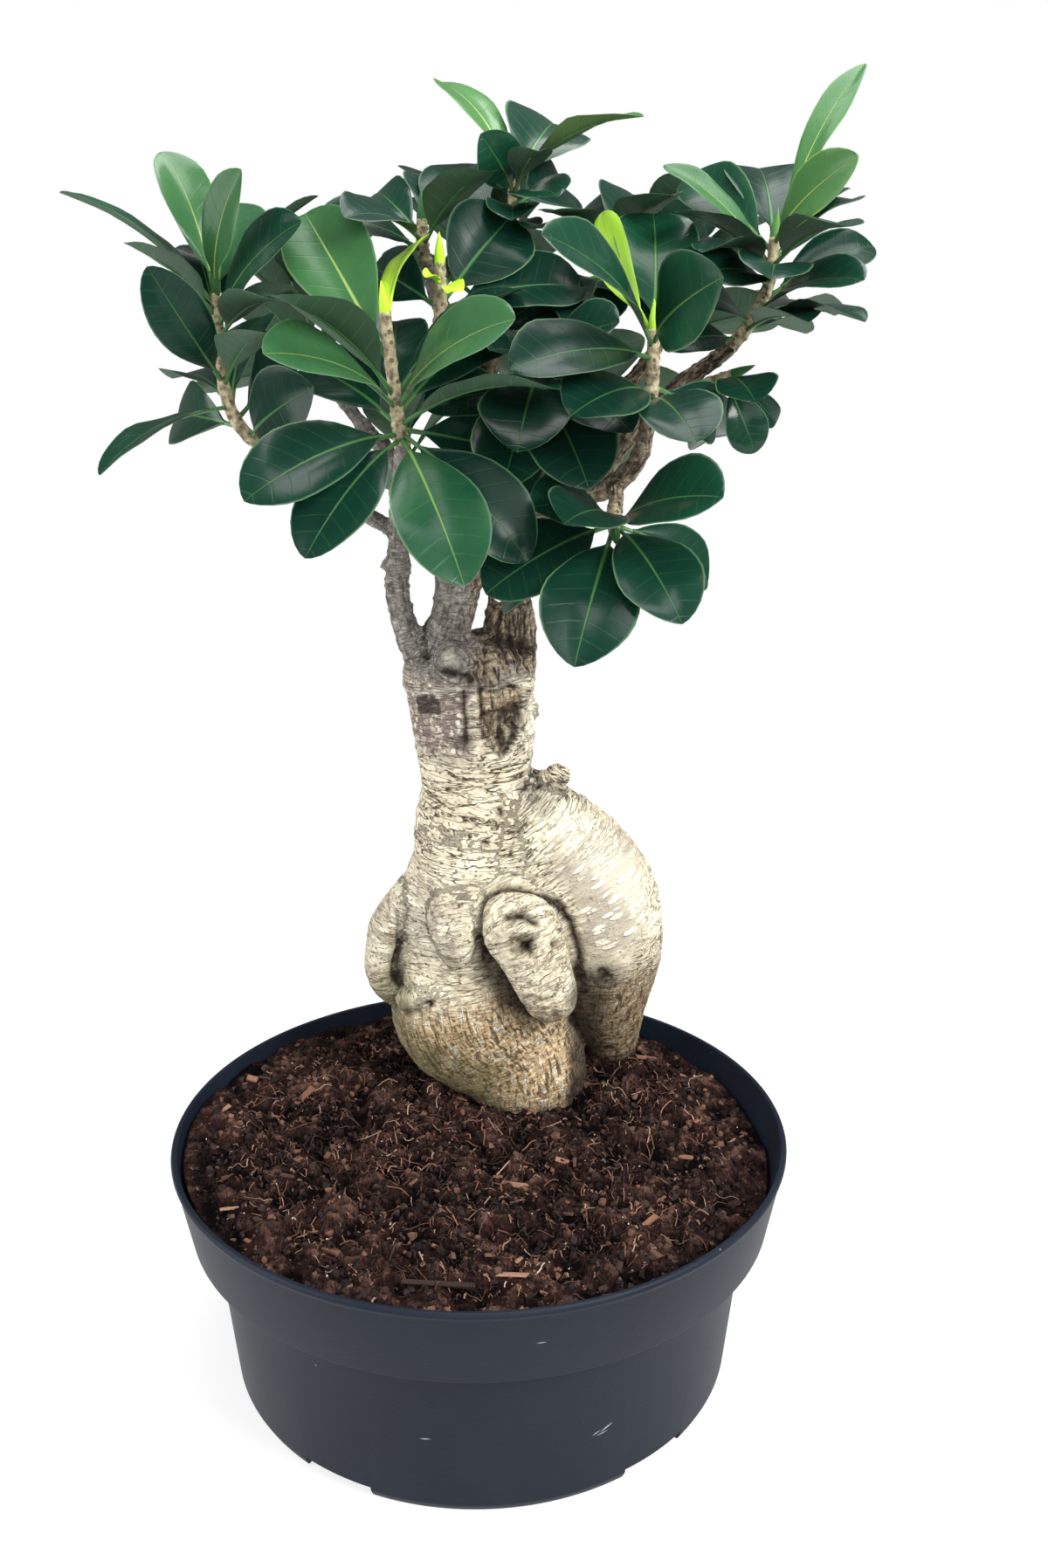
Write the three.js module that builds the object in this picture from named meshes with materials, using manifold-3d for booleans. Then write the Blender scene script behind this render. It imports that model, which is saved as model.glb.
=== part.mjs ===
import * as THREE from 'three';
import { mergeVertices } from 'three/addons/utils/BufferGeometryUtils.js';
import Module from 'manifold-3d';

const wasm = await Module();
wasm.setup();

// A ficus ginseng bonsai in a round nursery pot.
// Millimetres, +Z up. The origin is on the table under the middle of the pot, -Y is the front.

// Pot
const RIM_RADIUS = 115;
const RIM_TOP = 94;
const LIP_WIDTH = 2.4;
const LIP_HEIGHT = 3;
const BAND_BOTTOM = 64;
const BAND_BOTTOM_RADIUS = 109;
const WALL_TOP_RADIUS = 101;
const BASE_RADIUS = 95;
const BASE_CORNER = 3;
const WALL = 2.2;
const FLOOR_BOTTOM = 5;
const FLOOR_TOP = 7;
const FOOT_WIDTH = 4;
const FOOT_COUNT = 5;
const FIRST_FOOT_ANGLE = 3.5;
const NOTCH_ANGLE = 17;
const NOTCH_HEIGHT = 4.4;
const DRAIN_COUNT = 6;
const DRAIN_RADIUS = 5;
const DRAIN_CIRCLE = 68;
const POT_SEGMENTS = 40;

// Soil
const GAP = 0.3;
const SOIL_CLEARANCE = 0.75;
const SOIL_EDGE_CLEARANCE = 1.35;
const SOIL_LEVEL = 85.5;
const SOIL_TILT = 0.045;
const MOUND_HEIGHT = 8;
const MOUND_REACH = 50;
const MOUND_CENTRE = new THREE.Vector2(38, 62);
const SOIL_SEGMENTS = 32;
const SOIL_RINGS = 5;

// Roots, trunk and branches
const ROOT_DEPTH = 52;
const THICK_LIMB = 22;
const THICK_SIDES = 12;
const THIN_LIMB = 5;
const MIDDLE_SIDES = 8;
const THIN_SIDES = 5;

// Leaves
const PETIOLE = 0.14;
const PETIOLE_HALF_WIDTH = 0.9;
const PETIOLE_SEAT = 1;
const BLADE_THICKNESS = 1.3;
const BLADE_FOLD = 0.24;
const BLADE_BOW = 0.09;
const BLADE_WAVE = 0.9;
const BASE_POWER = 0.95;
const TIP_POWER = 0.6;
const BLADE_ROWS = [0, 0.3, 0.6, 0.87];
const CLEARANCE = 0.45;
const SHARED_CROSSING = 2;

// Twigs, each seated on the cut end of its branch
const TWIG_RADIUS = 2.4;
const TWIG_END_RADIUS = 1.7;
const BUD_LENGTH = 9;
const BUD_RADIUS = 1.9;
const BUD_TIP_RADIUS = 0.4;
const SEAT_RADIUS = 6;
const SEAT_LENGTH = 8;

// The way a leaf's upper side looks
const UP = new THREE.Vector3(0, 0, 1);
const FRONT = new THREE.Vector3(0, -1, 0.25);
const RAISED = new THREE.Vector3(0, -0.7, 0.7);
const FRONT_LEFT = new THREE.Vector3(-0.6, -0.8, 0.2);
const FRONT_RIGHT = new THREE.Vector3(0.6, -0.8, 0.2);

// Small turns tried for a leaf that would touch a neighbour: swing, lift and length
const TURNS = [
  [0, 0, 1], [8, 0, 1], [-8, 0, 1], [0, 8, 1], [0, -8, 1], [10, 8, 1], [-10, 8, 1],
  [10, -8, 1], [-10, -8, 1], [0, 15, 1], [0, -15, 1], [18, 0, 0.95], [-18, 0, 0.95],
  [16, 14, 0.9], [-16, 14, 0.9], [16, -14, 0.9], [-16, -14, 0.9], [0, 24, 0.85], [0, -24, 0.85],
  [28, 0, 0.8], [-28, 0, 0.8], [24, 20, 0.75], [-24, 20, 0.75], [0, 0, 0.6],
];

// Roots and trunk, as stations of centre x, y, z and half width and half depth
const ROOTS = {
  graft: [
    [-3, 45, 196, 21.5, 21], [-1, 45, 215, 20.5, 20.5], [-1, 45, 231, 22.6, 21],
    [-2, 45, 248, 23.7, 21], [-3, 45, 260, 24.8, 21], [-4, 45, 268, 21, 17], [-5, 45, 271, 12, 10],
  ],
  body: [
    [-3, 45, 204, 19, 19], [-4, 46, 183, 22, 23], [-5, 47, 165, 27, 27], [-3, 48, 145, 31, 30],
    [1, 48, 122, 37, 31], [10, 47, 106, 32.5, 28], [16.5, 45, 95, 27, 26], [18.5, 44, 86, 25.5, 25.5],
    [20, 44, 75, 23.5, 24], [20, 44, ROOT_DEPTH, 20, 20],
  ],
  bulb: [
    [10, 46, 212, 12, 12], [19, 46, 203, 17, 18], [31, 47, 188, 23, 23.5], [42, 48, 170, 27, 26.5],
    [48, 50, 150, 26, 27], [49, 53, 132, 23.5, 24], [51, 58, 114, 18.5, 18], [54, 64, 100, 13.5, 13],
    [54, 68, 88, 12, 12], [54, 69, ROOT_DEPTH, 8, 9],
  ],
  hook: [
    [6, 32, 176, 9, 9], [12, 23, 170, 14.5, 12], [18, 18, 160, 14.5, 12], [23, 17, 148, 12.5, 11],
    [27, 19, 136, 11, 9.5], [28, 22, 129, 7, 6],
  ],
  fold: [
    [12, 42, 214, 8, 9], [12, 41, 205, 11, 13], [12, 40, 194, 12, 14.5], [13, 38, 184, 10, 13],
    [14, 36, 178, 6, 8],
  ],
  nose: [
    [-8, 30, 186, 12, 12], [-9, 22, 173, 11.5, 9], [-9, 18, 162, 11, 8], [-7, 17, 152, 8, 6],
    [-5, 18, 145, 3.5, 3.5],
  ],
  ear: [
    [-24, 44, 172, 8, 10], [-34, 42, 160, 8, 12], [-38, 42, 148, 7, 13], [-37, 43, 136, 7, 12],
    [-29, 45, 126, 7, 9],
  ],
  ridge: [[-27, 27, 140, 5, 5], [-17, 20, 136, 6, 6], [-7, 20, 130, 4, 4]],
  backLeft: [
    [0, 58, 182, 14, 13], [-4, 68, 162, 17, 15], [-4, 75, 140, 16, 15], [-1, 79, 118, 13, 13],
    [1, 81, 98, 11, 11], [2, 81, 84, 10, 10], [2, 81, ROOT_DEPTH, 8, 8],
  ],
  backRight: [
    [18, 60, 176, 15, 14], [24, 70, 154, 16, 15], [28, 77, 132, 13, 13], [30, 82, 110, 10, 10],
    [31, 84, 88, 9, 9], [31, 84, ROOT_DEPTH, 7, 7],
  ],
};
const STUBS = {
  stump: [
    [10, 45, 258, 12.5, 13], [12.5, 45, 270, 10.5, 10], [13, 45, 279, 9, 9], [13, 45, 284, 8.5, 8],
  ],
  spike: [[7, 43, 276, 3.5, 3.5], [6.5, 43, 284, 2.4, 2.5], [5, 43, 291, 1.2, 1.2]],
  pruned: [[-9, 40, 264, 7, 7], [-8, 28, 266, 7, 7], [-8, 22, 267, 6, 6]],
  shoulder: [[24, 42, 211, 7, 7], [30, 41, 217, 6, 6], [33, 41, 222, 3, 3]],
  leftNub: [[-18, 45, 196, 4, 4], [-25, 44, 195, 2, 2]],
  rightNub: [[17, 45, 242, 5, 5], [23, 45, 244, 2.5, 3]],
};

// Bare main branches, as stations of centre x, y, z and radius
const BRANCHES = {
  thinLeft: [
    [-18, 44, 262, 6], [-24, 43, 271, 5], [-28, 42, 286, 4.4], [-28, 40, 299, 4.6],
    [-27, 34, 314, 3.4], [-26, 16, 328, 3.1], [-23, -12, 340, 3], [-22, -30, 346, 2.7],
    [-22, -33, 347, 2.6],
  ],
  toLeft: [
    [-28, 35, 312, 2.8], [-40, 32, 320, 2.9], [-53, 26, 327, 2.8], [-62, 18, 335, 2.8],
    [-66, 13, 341, 2.7], [-68, 12, 343, 2.6],
  ],
  middle: [
    [-10, 45, 258, 11], [-12, 45, 268, 9.2], [-8, 44, 282, 8], [-6, 42, 295, 8.4], [-4, 38, 312, 6.8],
    [-3, 34, 327, 5.8], [1, 30, 352, 4.8], [6, 28, 375, 4.2], [12, 26, 400, 3.4], [13, 24, 412, 2.8],
    [13, 24, 415, 2.7],
  ],
  toYoung: [[-2, 33, 345, 3.6], [-6, 14, 365, 3.4], [-10, -5, 379, 3], [-10, -8, 384, 2.8]],
  toUpperLeft: [[3, 29, 361, 3.4], [-8, 22, 384, 3], [-15, 15, 400, 2.7], [-16, 14, 403, 2.6]],
  toCentre: [[-3, 34, 332, 3.4], [10, 16, 349, 3], [18, 4, 358, 2.7], [20, 1, 361, 2.6]],
  toUpperRight: [[6, 28, 376, 3.4], [27, 30, 386, 3], [42, 27, 393, 2.7], [45, 26, 396, 2.6]],
  toRight: [
    [-4, 38, 308, 4.6], [18, 30, 318, 4.2], [35, 15, 325, 4], [53, 18, 347, 3.6], [67, 14, 362, 3.2],
    [80, 9, 372, 2.8], [86, 7, 377, 2.6],
  ],
  toFrontRight: [
    [35, 16, 325, 3.6], [47, -6, 334, 3.4], [53, -17, 343, 3], [54, -27, 354, 2.7], [54, -28, 358, 2.6],
  ],
  toLowFront: [[46, -4, 333, 3.2], [46, -14, 330, 2.8], [45, -21, 326, 2.7], [45, -23, 325, 2.6]],
  toLowerRight: [[60, 16, 355, 2.8], [69, 8, 360, 2.6], [76, 2, 364, 2.5], [78, 0, 365, 2.4]],
  toBackLeft: [
    [-4, 39, 308, 4], [-20, 50, 326, 3.6], [-38, 58, 345, 3], [-48, 64, 357, 2.7], [-50, 65, 359, 2.6],
  ],
  toBack: [[0, 31, 345, 3.6], [2, 42, 360, 3.4], [4, 58, 373, 2.9], [5, 66, 380, 2.7], [5, 67, 382, 2.6]],
  toBackRight: [
    [18, 30, 318, 3.6], [34, 42, 340, 3.4], [52, 52, 358, 3], [62, 58, 369, 2.7], [63, 59, 371, 2.6],
  ],
  toLowBackLeft: [[-18, 49, 321, 3], [-20, 58, 325, 2.8], [-22, 66, 330, 2.6], [-22, 67, 332, 2.5]],
  toLowBackRight: [[30, 38, 333, 3], [33, 50, 336, 2.8], [36, 62, 340, 2.6], [37, 64, 341, 2.5]],
};

// Leafy shoots. A stem has stations x, y, z. A leaf has its place along the stem, its tip x, y, z,
// its width and the way its upper side looks. The extra leaves fan round the stem by angle.
const SHOOTS = [
  {
    name: 'shoot_left', stem: [[-66, 13, 341], [-76, 9, 349], [-81, 7, 360], [-82, 5, 376], [-82, 4, 393]],
    leaves: [
      [0.95, -130, 8, 423, 20, UP], [0.9, -106, -14, 407, 20, UP], [0.6, -97, -27, 400, 19, FRONT],
      [0.99, -98, 16, 436, 20, FRONT_RIGHT], [0.99, -69, -16, 428, 18, FRONT_LEFT],
      [0.97, -80, 36, 422, 28, FRONT], [0.86, -51, -21, 413, 25, RAISED], [0.9, -43, 22, 416, 22, UP],
      [0.92, -48, 4, 422, 19, UP], [0.8, -57, -33, 390, 22, UP], [0.58, -62, -31, 381, 20, UP],
      [0.5, -105, 42, 365, 20, UP], [0.45, -115, -32, 339, 14, UP], [0.3, -105, 46, 352, 24, FRONT],
      [0.35, -66, 43, 373, 24, FRONT_RIGHT], [0.2, -49, -25, 365, 26, FRONT],
      [0.16, -61, 50, 344, 24, FRONT],
    ],
    extra: 2, fan: [70, 40],
  },
  {
    name: 'shoot_front_left', stem: [[-22, -30, 346], [-23, -32, 355], [-24, -34, 366], [-26, -36, 387]],
    leaves: [
      [0.78, -59, -3, 412, 28, FRONT], [0.6, -55, -75, 391, 26, UP], [0.5, -57, -78, 376, 26, RAISED],
      [0.3, -60, 1, 366, 28, RAISED], [0.2, -66, -67, 335, 28, RAISED], [0.14, -49, -70, 319, 24, RAISED],
      [0.16, -3, -77, 312, 29, RAISED], [0.2, 16, -51, 315, 27, RAISED], [0.5, 12, -68, 385, 28, RAISED],
      [0.6, 11, -6, 394, 24, UP], [0.42, 10, -3, 383, 26, RAISED], [0.3, 24, -70, 366, 24, UP],
      [0.24, 12, 4, 342, 24, FRONT], [0.95, -8, 5, 412, 13, FRONT_LEFT],
    ],
    extra: 2, fan: [70, 50],
  },
  {
    name: 'shoot_young', stem: [[-10, -8, 382], [-10, -9, 392], [-10, -10, 402]],
    leaves: [
      [0.4, 17, 8, 413, 30, FRONT], [0.3, 36, -4, 399, 27, RAISED],
      [0.6, -3, -21, 393, 7, RAISED], [0.7, -14, -21, 397, 6, RAISED], [0.3, -33, 22, 401, 22, FRONT],
    ],
    extra: 1, fan: [60, 70],
  },
  {
    name: 'shoot_upper_left', stem: [[-15, 15, 401], [-16, 14, 408], [-16, 13, 416]],
    leaves: [
      [0.8, -10, 54, 430, 25, FRONT], [0.7, -32, 44, 426, 17, FRONT], [0.6, -38, -24, 414, 22, RAISED],
      [0.4, -46, -10, 409, 18, RAISED], [0.8, 4, 48, 430, 24, UP], [0.5, 6, -20, 422, 22, UP],
    ],
  },
  {
    name: 'shoot_top', stem: [[13, 24, 412], [14, 23, 421], [14, 22, 430]],
    leaves: [
      [0.85, -11, 62, 463, 20, FRONT_RIGHT], [0.7, 3, 2, 440, 17, FRONT], [0.9, 29, 62, 450, 32, FRONT],
      [0.9, 51, -23, 442, 13, UP], [0.7, 21, -8, 434, 14, UP], [0.5, 27, -10, 421, 20, RAISED],
      [0.5, 33, 54, 428, 24, FRONT], [0.4, -2, -8, 420, 22, RAISED], [0.3, 8, 66, 416, 24, UP],
    ],
  },
  {
    name: 'shoot_upper_right', stem: [[43, 27, 394], [45, 26, 403], [47, 26, 412]],
    leaves: [
      [0.8, 34, 60, 423, 25, FRONT], [0.8, 57, 61, 427, 25, FRONT], [0.7, 24, -8, 422, 17, UP],
      [0.6, 62, -14, 421, 19, UP], [0.5, 17, -6, 412, 22, UP], [0.4, 80, 52, 418, 24, FRONT],
      [0.2, 34, -18, 386, 26, RAISED], [0.25, 12, -8, 392, 24, RAISED], [0.15, 58, -10, 384, 24, RAISED],
    ],
  },
  {
    name: 'shoot_front_right', stem: [[54, -27, 355], [55, -29, 366], [55, -30, 374], [55, -30, 382]],
    leaves: [
      [0.95, 41, -2, 417, 14, FRONT_LEFT], [0.85, 69, -72, 396, 28, FRONT_LEFT],
      [0.9, 58, 4, 417, 28, FRONT],
      [0.8, 19, -70, 407, 25, RAISED], [0.65, 15, -69, 367, 26, RAISED], [0.25, 23, -64, 362, 26, RAISED],
      [0.2, 64, -66, 351, 26, RAISED], [0.3, 80, 0, 352, 20, FRONT], [0.15, 22, -2, 350, 26, RAISED],
    ],
    extra: 1, fan: [60, 60],
  },
  {
    name: 'shoot_right', stem: [[84, 8, 375], [91, 6, 384], [96, 4, 396], [97, 3, 410]],
    leaves: [
      [0.95, 128, 25, 464, 11, FRONT_LEFT], [0.97, 112, -40, 430, 17, FRONT_LEFT],
      [0.95, 98, 43, 434, 30, FRONT],
      [0.9, 79, 38, 434, 22, FRONT], [0.8, 63, 22, 433, 11, FRONT_RIGHT], [0.75, 59, -15, 416, 16, UP],
      [0.78, 64, -26, 410, 20, UP], [0.65, 70, -34, 402, 24, RAISED], [0.8, 112, -36, 411, 24, UP],
      [0.7, 88, -42, 396, 24, RAISED], [0.55, 132, 15, 408, 20, RAISED], [0.45, 117, -36, 396, 22, RAISED],
      [0.4, 125, 34, 386, 20, UP], [0.35, 120, -28, 384, 19, UP], [0.25, 102, -31, 384, 20, UP],
      [0.2, 116, 37, 380, 17, UP], [0.85, 130, 29, 423, 20, UP], [0.9, 121, 34, 432, 24, FRONT_LEFT],
      [0.3, 66, -18, 392, 26, RAISED], [0.12, 61, -10, 376, 18, RAISED],
    ],
  },
  {
    name: 'shoot_lower_right', stem: [[76, 2, 364], [80, -2, 366], [84, -6, 368]],
    leaves: [
      [0.9, 88, -26, 360, 21, RAISED], [0.7, 92, -6, 343, 15, FRONT], [0.8, 102, 12, 351, 9, FRONT],
      [0.5, 84, 32, 345, 24, FRONT],
    ],
  },
  {
    name: 'shoot_low_front', stem: [[45, -20, 327], [44, -27, 323], [44, -33, 321]],
    leaves: [
      [0.6, 73, -62, 335, 32, RAISED], [0.6, 61, -70, 299, 27, RAISED], [0.5, 77, -14, 302, 22, RAISED],
      [0.85, 29, -73, 287, 31, RAISED], [0.6, 4, -55, 310, 29, RAISED], [0.4, 9, 2, 292, 26, RAISED],
      [0.5, 26, -66, 328, 26, RAISED], [0.3, 17, -44, 330, 22, RAISED],
    ],
  },
  {
    name: 'shoot_centre', stem: [[19, 2, 360], [20, -5, 365], [21, -11, 369]],
    leaves: [
      [0.5, 26, -43, 329, 30, RAISED], [0.3, 9, -42, 336, 28, RAISED], [0.6, 13, -48, 347, 30, RAISED],
      [0.6, 49, -38, 347, 26, RAISED], [0.8, 44, -36, 384, 26, RAISED], [0.9, 5, -38, 376, 24, RAISED],
      [0.2, 20, -25, 323, 26, RAISED], [0.15, -14, -20, 343, 26, RAISED], [0.8, 31, -18, 379, 24, RAISED],
      [0.4, 56, 2, 370, 26, FRONT],
    ],
  },
  {
    name: 'shoot_back_left', stem: [[-48, 64, 357], [-56, 69, 366], [-60, 71, 378], [-61, 71, 390]],
    extra: 12, fan: [200, 137.5],
  },
  {
    name: 'shoot_back', stem: [[5, 66, 380], [6, 70, 389], [7, 71, 400], [7, 71, 410]],
    extra: 12, fan: [30, 137.5],
  },
  {
    name: 'shoot_back_right', stem: [[62, 58, 369], [69, 64, 378], [72, 66, 389], [73, 66, 400]],
    extra: 12, fan: [320, 137.5],
  },
  {
    name: 'shoot_low_back_left', stem: [[-22, 66, 330], [-25, 71, 337], [-27, 73, 346]],
    extra: 10, fan: [90, 137.5],
  },
  {
    name: 'shoot_low_back_right', stem: [[36, 62, 340], [38, 67, 346], [40, 69, 354]],
    extra: 10, fan: [60, 137.5],
  },
];

const rad = THREE.MathUtils.degToRad;

// Solids and meshes

function toSolid(geometry) {
  const bare = geometry.clone();
  bare.deleteAttribute('normal');
  bare.deleteAttribute('uv');
  const merged = mergeVertices(bare, 1e-4);
  return new wasm.Manifold(new wasm.Mesh({
    numProp: 3,
    vertProperties: Float32Array.from(merged.attributes.position.array),
    triVerts: Uint32Array.from(merged.index.array),
  }));
}

function toGeometry(solid) {
  const mesh = solid.getMesh();
  const geometry = new THREE.BufferGeometry();
  geometry.setAttribute('position', new THREE.BufferAttribute(mesh.vertProperties, 3));
  geometry.setIndex(new THREE.BufferAttribute(mesh.triVerts, 1));
  geometry.computeVertexNormals();
  return geometry;
}

// Joined pieces, keeping the outer skin and leaving out sealed hollows and loose scraps
function fuse(solids) {
  const joined = solids.reduce((whole, piece) => whole.add(piece));
  const pieces = joined.decompose();
  return pieces.reduce((best, piece) => (piece.volume() > best.volume() ? piece : best));
}

// A closed skin over rings of points, with a point or a flat cap at each end
function skin(rings, firstPoint, lastPoint) {
  const positions = [];
  const faces = [];
  const sides = rings[0].length;
  for (const ring of rings) {
    for (const point of ring) positions.push(point.x, point.y, point.z);
  }
  const first = rings.length * sides;
  const last = first + 1;
  positions.push(firstPoint.x, firstPoint.y, firstPoint.z, lastPoint.x, lastPoint.y, lastPoint.z);
  const top = (rings.length - 1) * sides;
  for (let side = 0; side < sides; side++) {
    const next = (side + 1) % sides;
    for (let row = 0; row < rings.length - 1; row++) {
      const a = row * sides + side;
      const b = row * sides + next;
      faces.push(a, b, b + sides, a, b + sides, a + sides);
    }
    faces.push(first, next, side, last, top + side, top + next);
  }
  const geometry = new THREE.BufferGeometry();
  geometry.setAttribute('position', new THREE.Float32BufferAttribute(positions, 3));
  geometry.setIndex(faces);
  return geometry;
}

function middleOf(ring) {
  const middle = new THREE.Vector3();
  for (const point of ring) middle.add(point);
  return middle.divideScalar(ring.length);
}

// Roots, trunk and branches

// The axis that a limb's width is measured along: across the way the limb runs
function widthAxis(points) {
  const run = points[points.length - 1].clone().sub(points[0]);
  const alongX = Math.abs(run.x) > Math.max(Math.abs(run.y), Math.abs(run.z));
  return alongX ? new THREE.Vector3(0, 1, 0) : new THREE.Vector3(1, 0, 0);
}

function limbSides(stations) {
  const widest = Math.max(...stations.map((station) => station[3]));
  if (widest > THICK_LIMB) return THICK_SIDES;
  return widest > THIN_LIMB ? MIDDLE_SIDES : THIN_SIDES;
}

// A tapering limb through its stations, swollen by extra on every side
function limb(stations, extra = 0) {
  const sides = limbSides(stations);
  const steps = stations.length - 1;
  const points = stations.map(([x, y, z]) => new THREE.Vector3(x, y, z));
  const sizes = stations.map(([, , , wide, deep]) => new THREE.Vector3(wide, deep ?? wide, 0));
  const path = new THREE.CatmullRomCurve3(points, false, 'catmullrom');
  const size = new THREE.CatmullRomCurve3(sizes, false, 'catmullrom');
  const across = widthAxis(points);
  const rings = [];
  for (let step = 0; step <= steps; step++) {
    const t = step / steps;
    const centre = path.getPoint(t);
    const along = path.getTangent(t);
    const wide = across.clone().addScaledVector(along, -across.dot(along)).normalize();
    const deep = along.clone().cross(wide);
    const half = size.getPoint(t);
    const ring = [];
    for (let side = 0; side < sides; side++) {
      const angle = (2 * Math.PI * side) / sides;
      ring.push(centre.clone()
        .addScaledVector(wide, (half.x + extra) * Math.cos(angle))
        .addScaledVector(deep, (half.y + extra) * Math.sin(angle)));
    }
    rings.push(ring);
  }
  return skin(rings, middleOf(rings[0]), middleOf(rings[steps]));
}

// Only what stands in the soil, a little wider and deeper than the roots
function rootHole() {
  const buried = Object.values(ROOTS).filter((stations) => stations.at(-1)[2] === ROOT_DEPTH);
  return buried.map((stations) => {
    const [x, y, z, wide, deep] = stations.at(-1);
    return toSolid(limb([...stations.slice(0, -1), [x, y, z - GAP, wide, deep]], GAP));
  });
}

function buildTrunk(stems) {
  const limbs = [ROOTS, STUBS, BRANCHES].flatMap((kind) => Object.values(kind));
  const whole = fuse(limbs.map((stations) => toSolid(limb(stations))));
  return stems.reduce((trunk, stem) => trunk.subtract(stem.seat), whole);
}

// Pot

function buildPot() {
  const point = (radius, height) => new THREE.Vector2(radius, height);
  const innerBand = BAND_BOTTOM_RADIUS - WALL;
  const innerWall = WALL_TOP_RADIUS - WALL;
  const innerBase = BASE_RADIUS - WALL;
  const profile = [
    point(0, FLOOR_BOTTOM),
    point(BASE_RADIUS - FOOT_WIDTH, FLOOR_BOTTOM),
    point(BASE_RADIUS - FOOT_WIDTH, 0),
    point(BASE_RADIUS - BASE_CORNER / 2, 0),
    point(BASE_RADIUS, BASE_CORNER),
    point(WALL_TOP_RADIUS, BAND_BOTTOM),
    point(BAND_BOTTOM_RADIUS, BAND_BOTTOM),
    point(RIM_RADIUS - 1, RIM_TOP - LIP_HEIGHT),
    point(RIM_RADIUS, RIM_TOP - LIP_HEIGHT / 2),
    point(RIM_RADIUS - LIP_WIDTH / 3, RIM_TOP),
    point(RIM_RADIUS - LIP_WIDTH, RIM_TOP),
    point(innerBand, BAND_BOTTOM + WALL),
    point(innerWall, BAND_BOTTOM - WALL),
    point(innerBase, FLOOR_TOP),
    point(0, FLOOR_TOP),
  ];
  let pot = toSolid(new THREE.LatheGeometry(profile, POT_SEGMENTS).rotateX(Math.PI / 2));
  const notchWidth = 2 * BASE_RADIUS * Math.sin(rad(NOTCH_ANGLE / 2));
  for (let foot = 0; foot < FOOT_COUNT; foot++) {
    const angle = rad(FIRST_FOOT_ANGLE + (foot + 0.5) * (360 / FOOT_COUNT) - 90);
    const notch = new THREE.BoxGeometry(FOOT_WIDTH * 3, notchWidth, NOTCH_HEIGHT * 2);
    notch.translate(BASE_RADIUS, 0, 0);
    notch.rotateZ(angle);
    pot = pot.subtract(toSolid(notch));
  }
  for (let drain = 0; drain < DRAIN_COUNT; drain++) {
    const angle = (2 * Math.PI * (drain + 0.5)) / DRAIN_COUNT;
    const hole = new THREE.CylinderGeometry(DRAIN_RADIUS, DRAIN_RADIUS, FLOOR_TOP * 2, 12);
    hole.rotateX(Math.PI / 2);
    hole.translate(DRAIN_CIRCLE * Math.cos(angle), DRAIN_CIRCLE * Math.sin(angle), FLOOR_BOTTOM);
    pot = pot.subtract(toSolid(hole));
  }
  return pot;
}

// Soil

function soilHeight(x, y) {
  const reach = Math.hypot(x - MOUND_CENTRE.x, y - MOUND_CENTRE.y) / MOUND_REACH;
  const mound = MOUND_HEIGHT * Math.exp(-reach * reach);
  const lumps = 0.9 * Math.sin(x / 9 + 1) * Math.sin(y / 8) + 0.6 * Math.sin(x / 5 + y / 6.5);
  return SOIL_LEVEL - SOIL_TILT * x + mound + lumps;
}

function buildSoil() {
  const innerBand = BAND_BOTTOM_RADIUS - WALL;
  const rimInside = RIM_RADIUS - LIP_WIDTH;
  const bandSlope = (rimInside - innerBand) / (RIM_TOP - BAND_BOTTOM - WALL);
  const ringOf = (place) => {
    const ring = [];
    for (let side = 0; side < SOIL_SEGMENTS; side++) {
      const angle = (2 * Math.PI * side) / SOIL_SEGMENTS;
      ring.push(place(Math.cos(angle), Math.sin(angle)));
    }
    return ring;
  };
  const level = (radius, height) => ringOf((x, y) => new THREE.Vector3(radius * x, radius * y, height));
  const edgeRadius = (x, y) => {
    const height = soilHeight(innerBand * x, innerBand * y);
    return innerBand + bandSlope * (height - BAND_BOTTOM - WALL) - SOIL_EDGE_CLEARANCE;
  };
  const rings = [
    level(BASE_RADIUS - WALL - SOIL_CLEARANCE, FLOOR_TOP + GAP),
    level(WALL_TOP_RADIUS - WALL - SOIL_CLEARANCE, BAND_BOTTOM - WALL),
    level(innerBand - SOIL_CLEARANCE, BAND_BOTTOM + WALL + 1),
  ];
  for (let ring = 0; ring < SOIL_RINGS; ring++) {
    rings.push(ringOf((x, y) => {
      const radius = edgeRadius(x, y) * (1 - ring / SOIL_RINGS);
      return new THREE.Vector3(radius * x, radius * y, soilHeight(radius * x, radius * y));
    }));
  }
  const bottom = new THREE.Vector3(0, 0, FLOOR_TOP + GAP);
  const top = new THREE.Vector3(0, 0, soilHeight(0, 0));
  const filling = toSolid(skin(rings, bottom, top));
  return rootHole().reduce((soil, root) => soil.subtract(root), filling);
}

// Leaves

function bladeHalfWidth(u) {
  const peak = BASE_POWER / (BASE_POWER + TIP_POWER);
  const highest = peak ** BASE_POWER * (1 - peak) ** TIP_POWER;
  return (u ** BASE_POWER * (1 - u) ** TIP_POWER) / highest;
}

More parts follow.
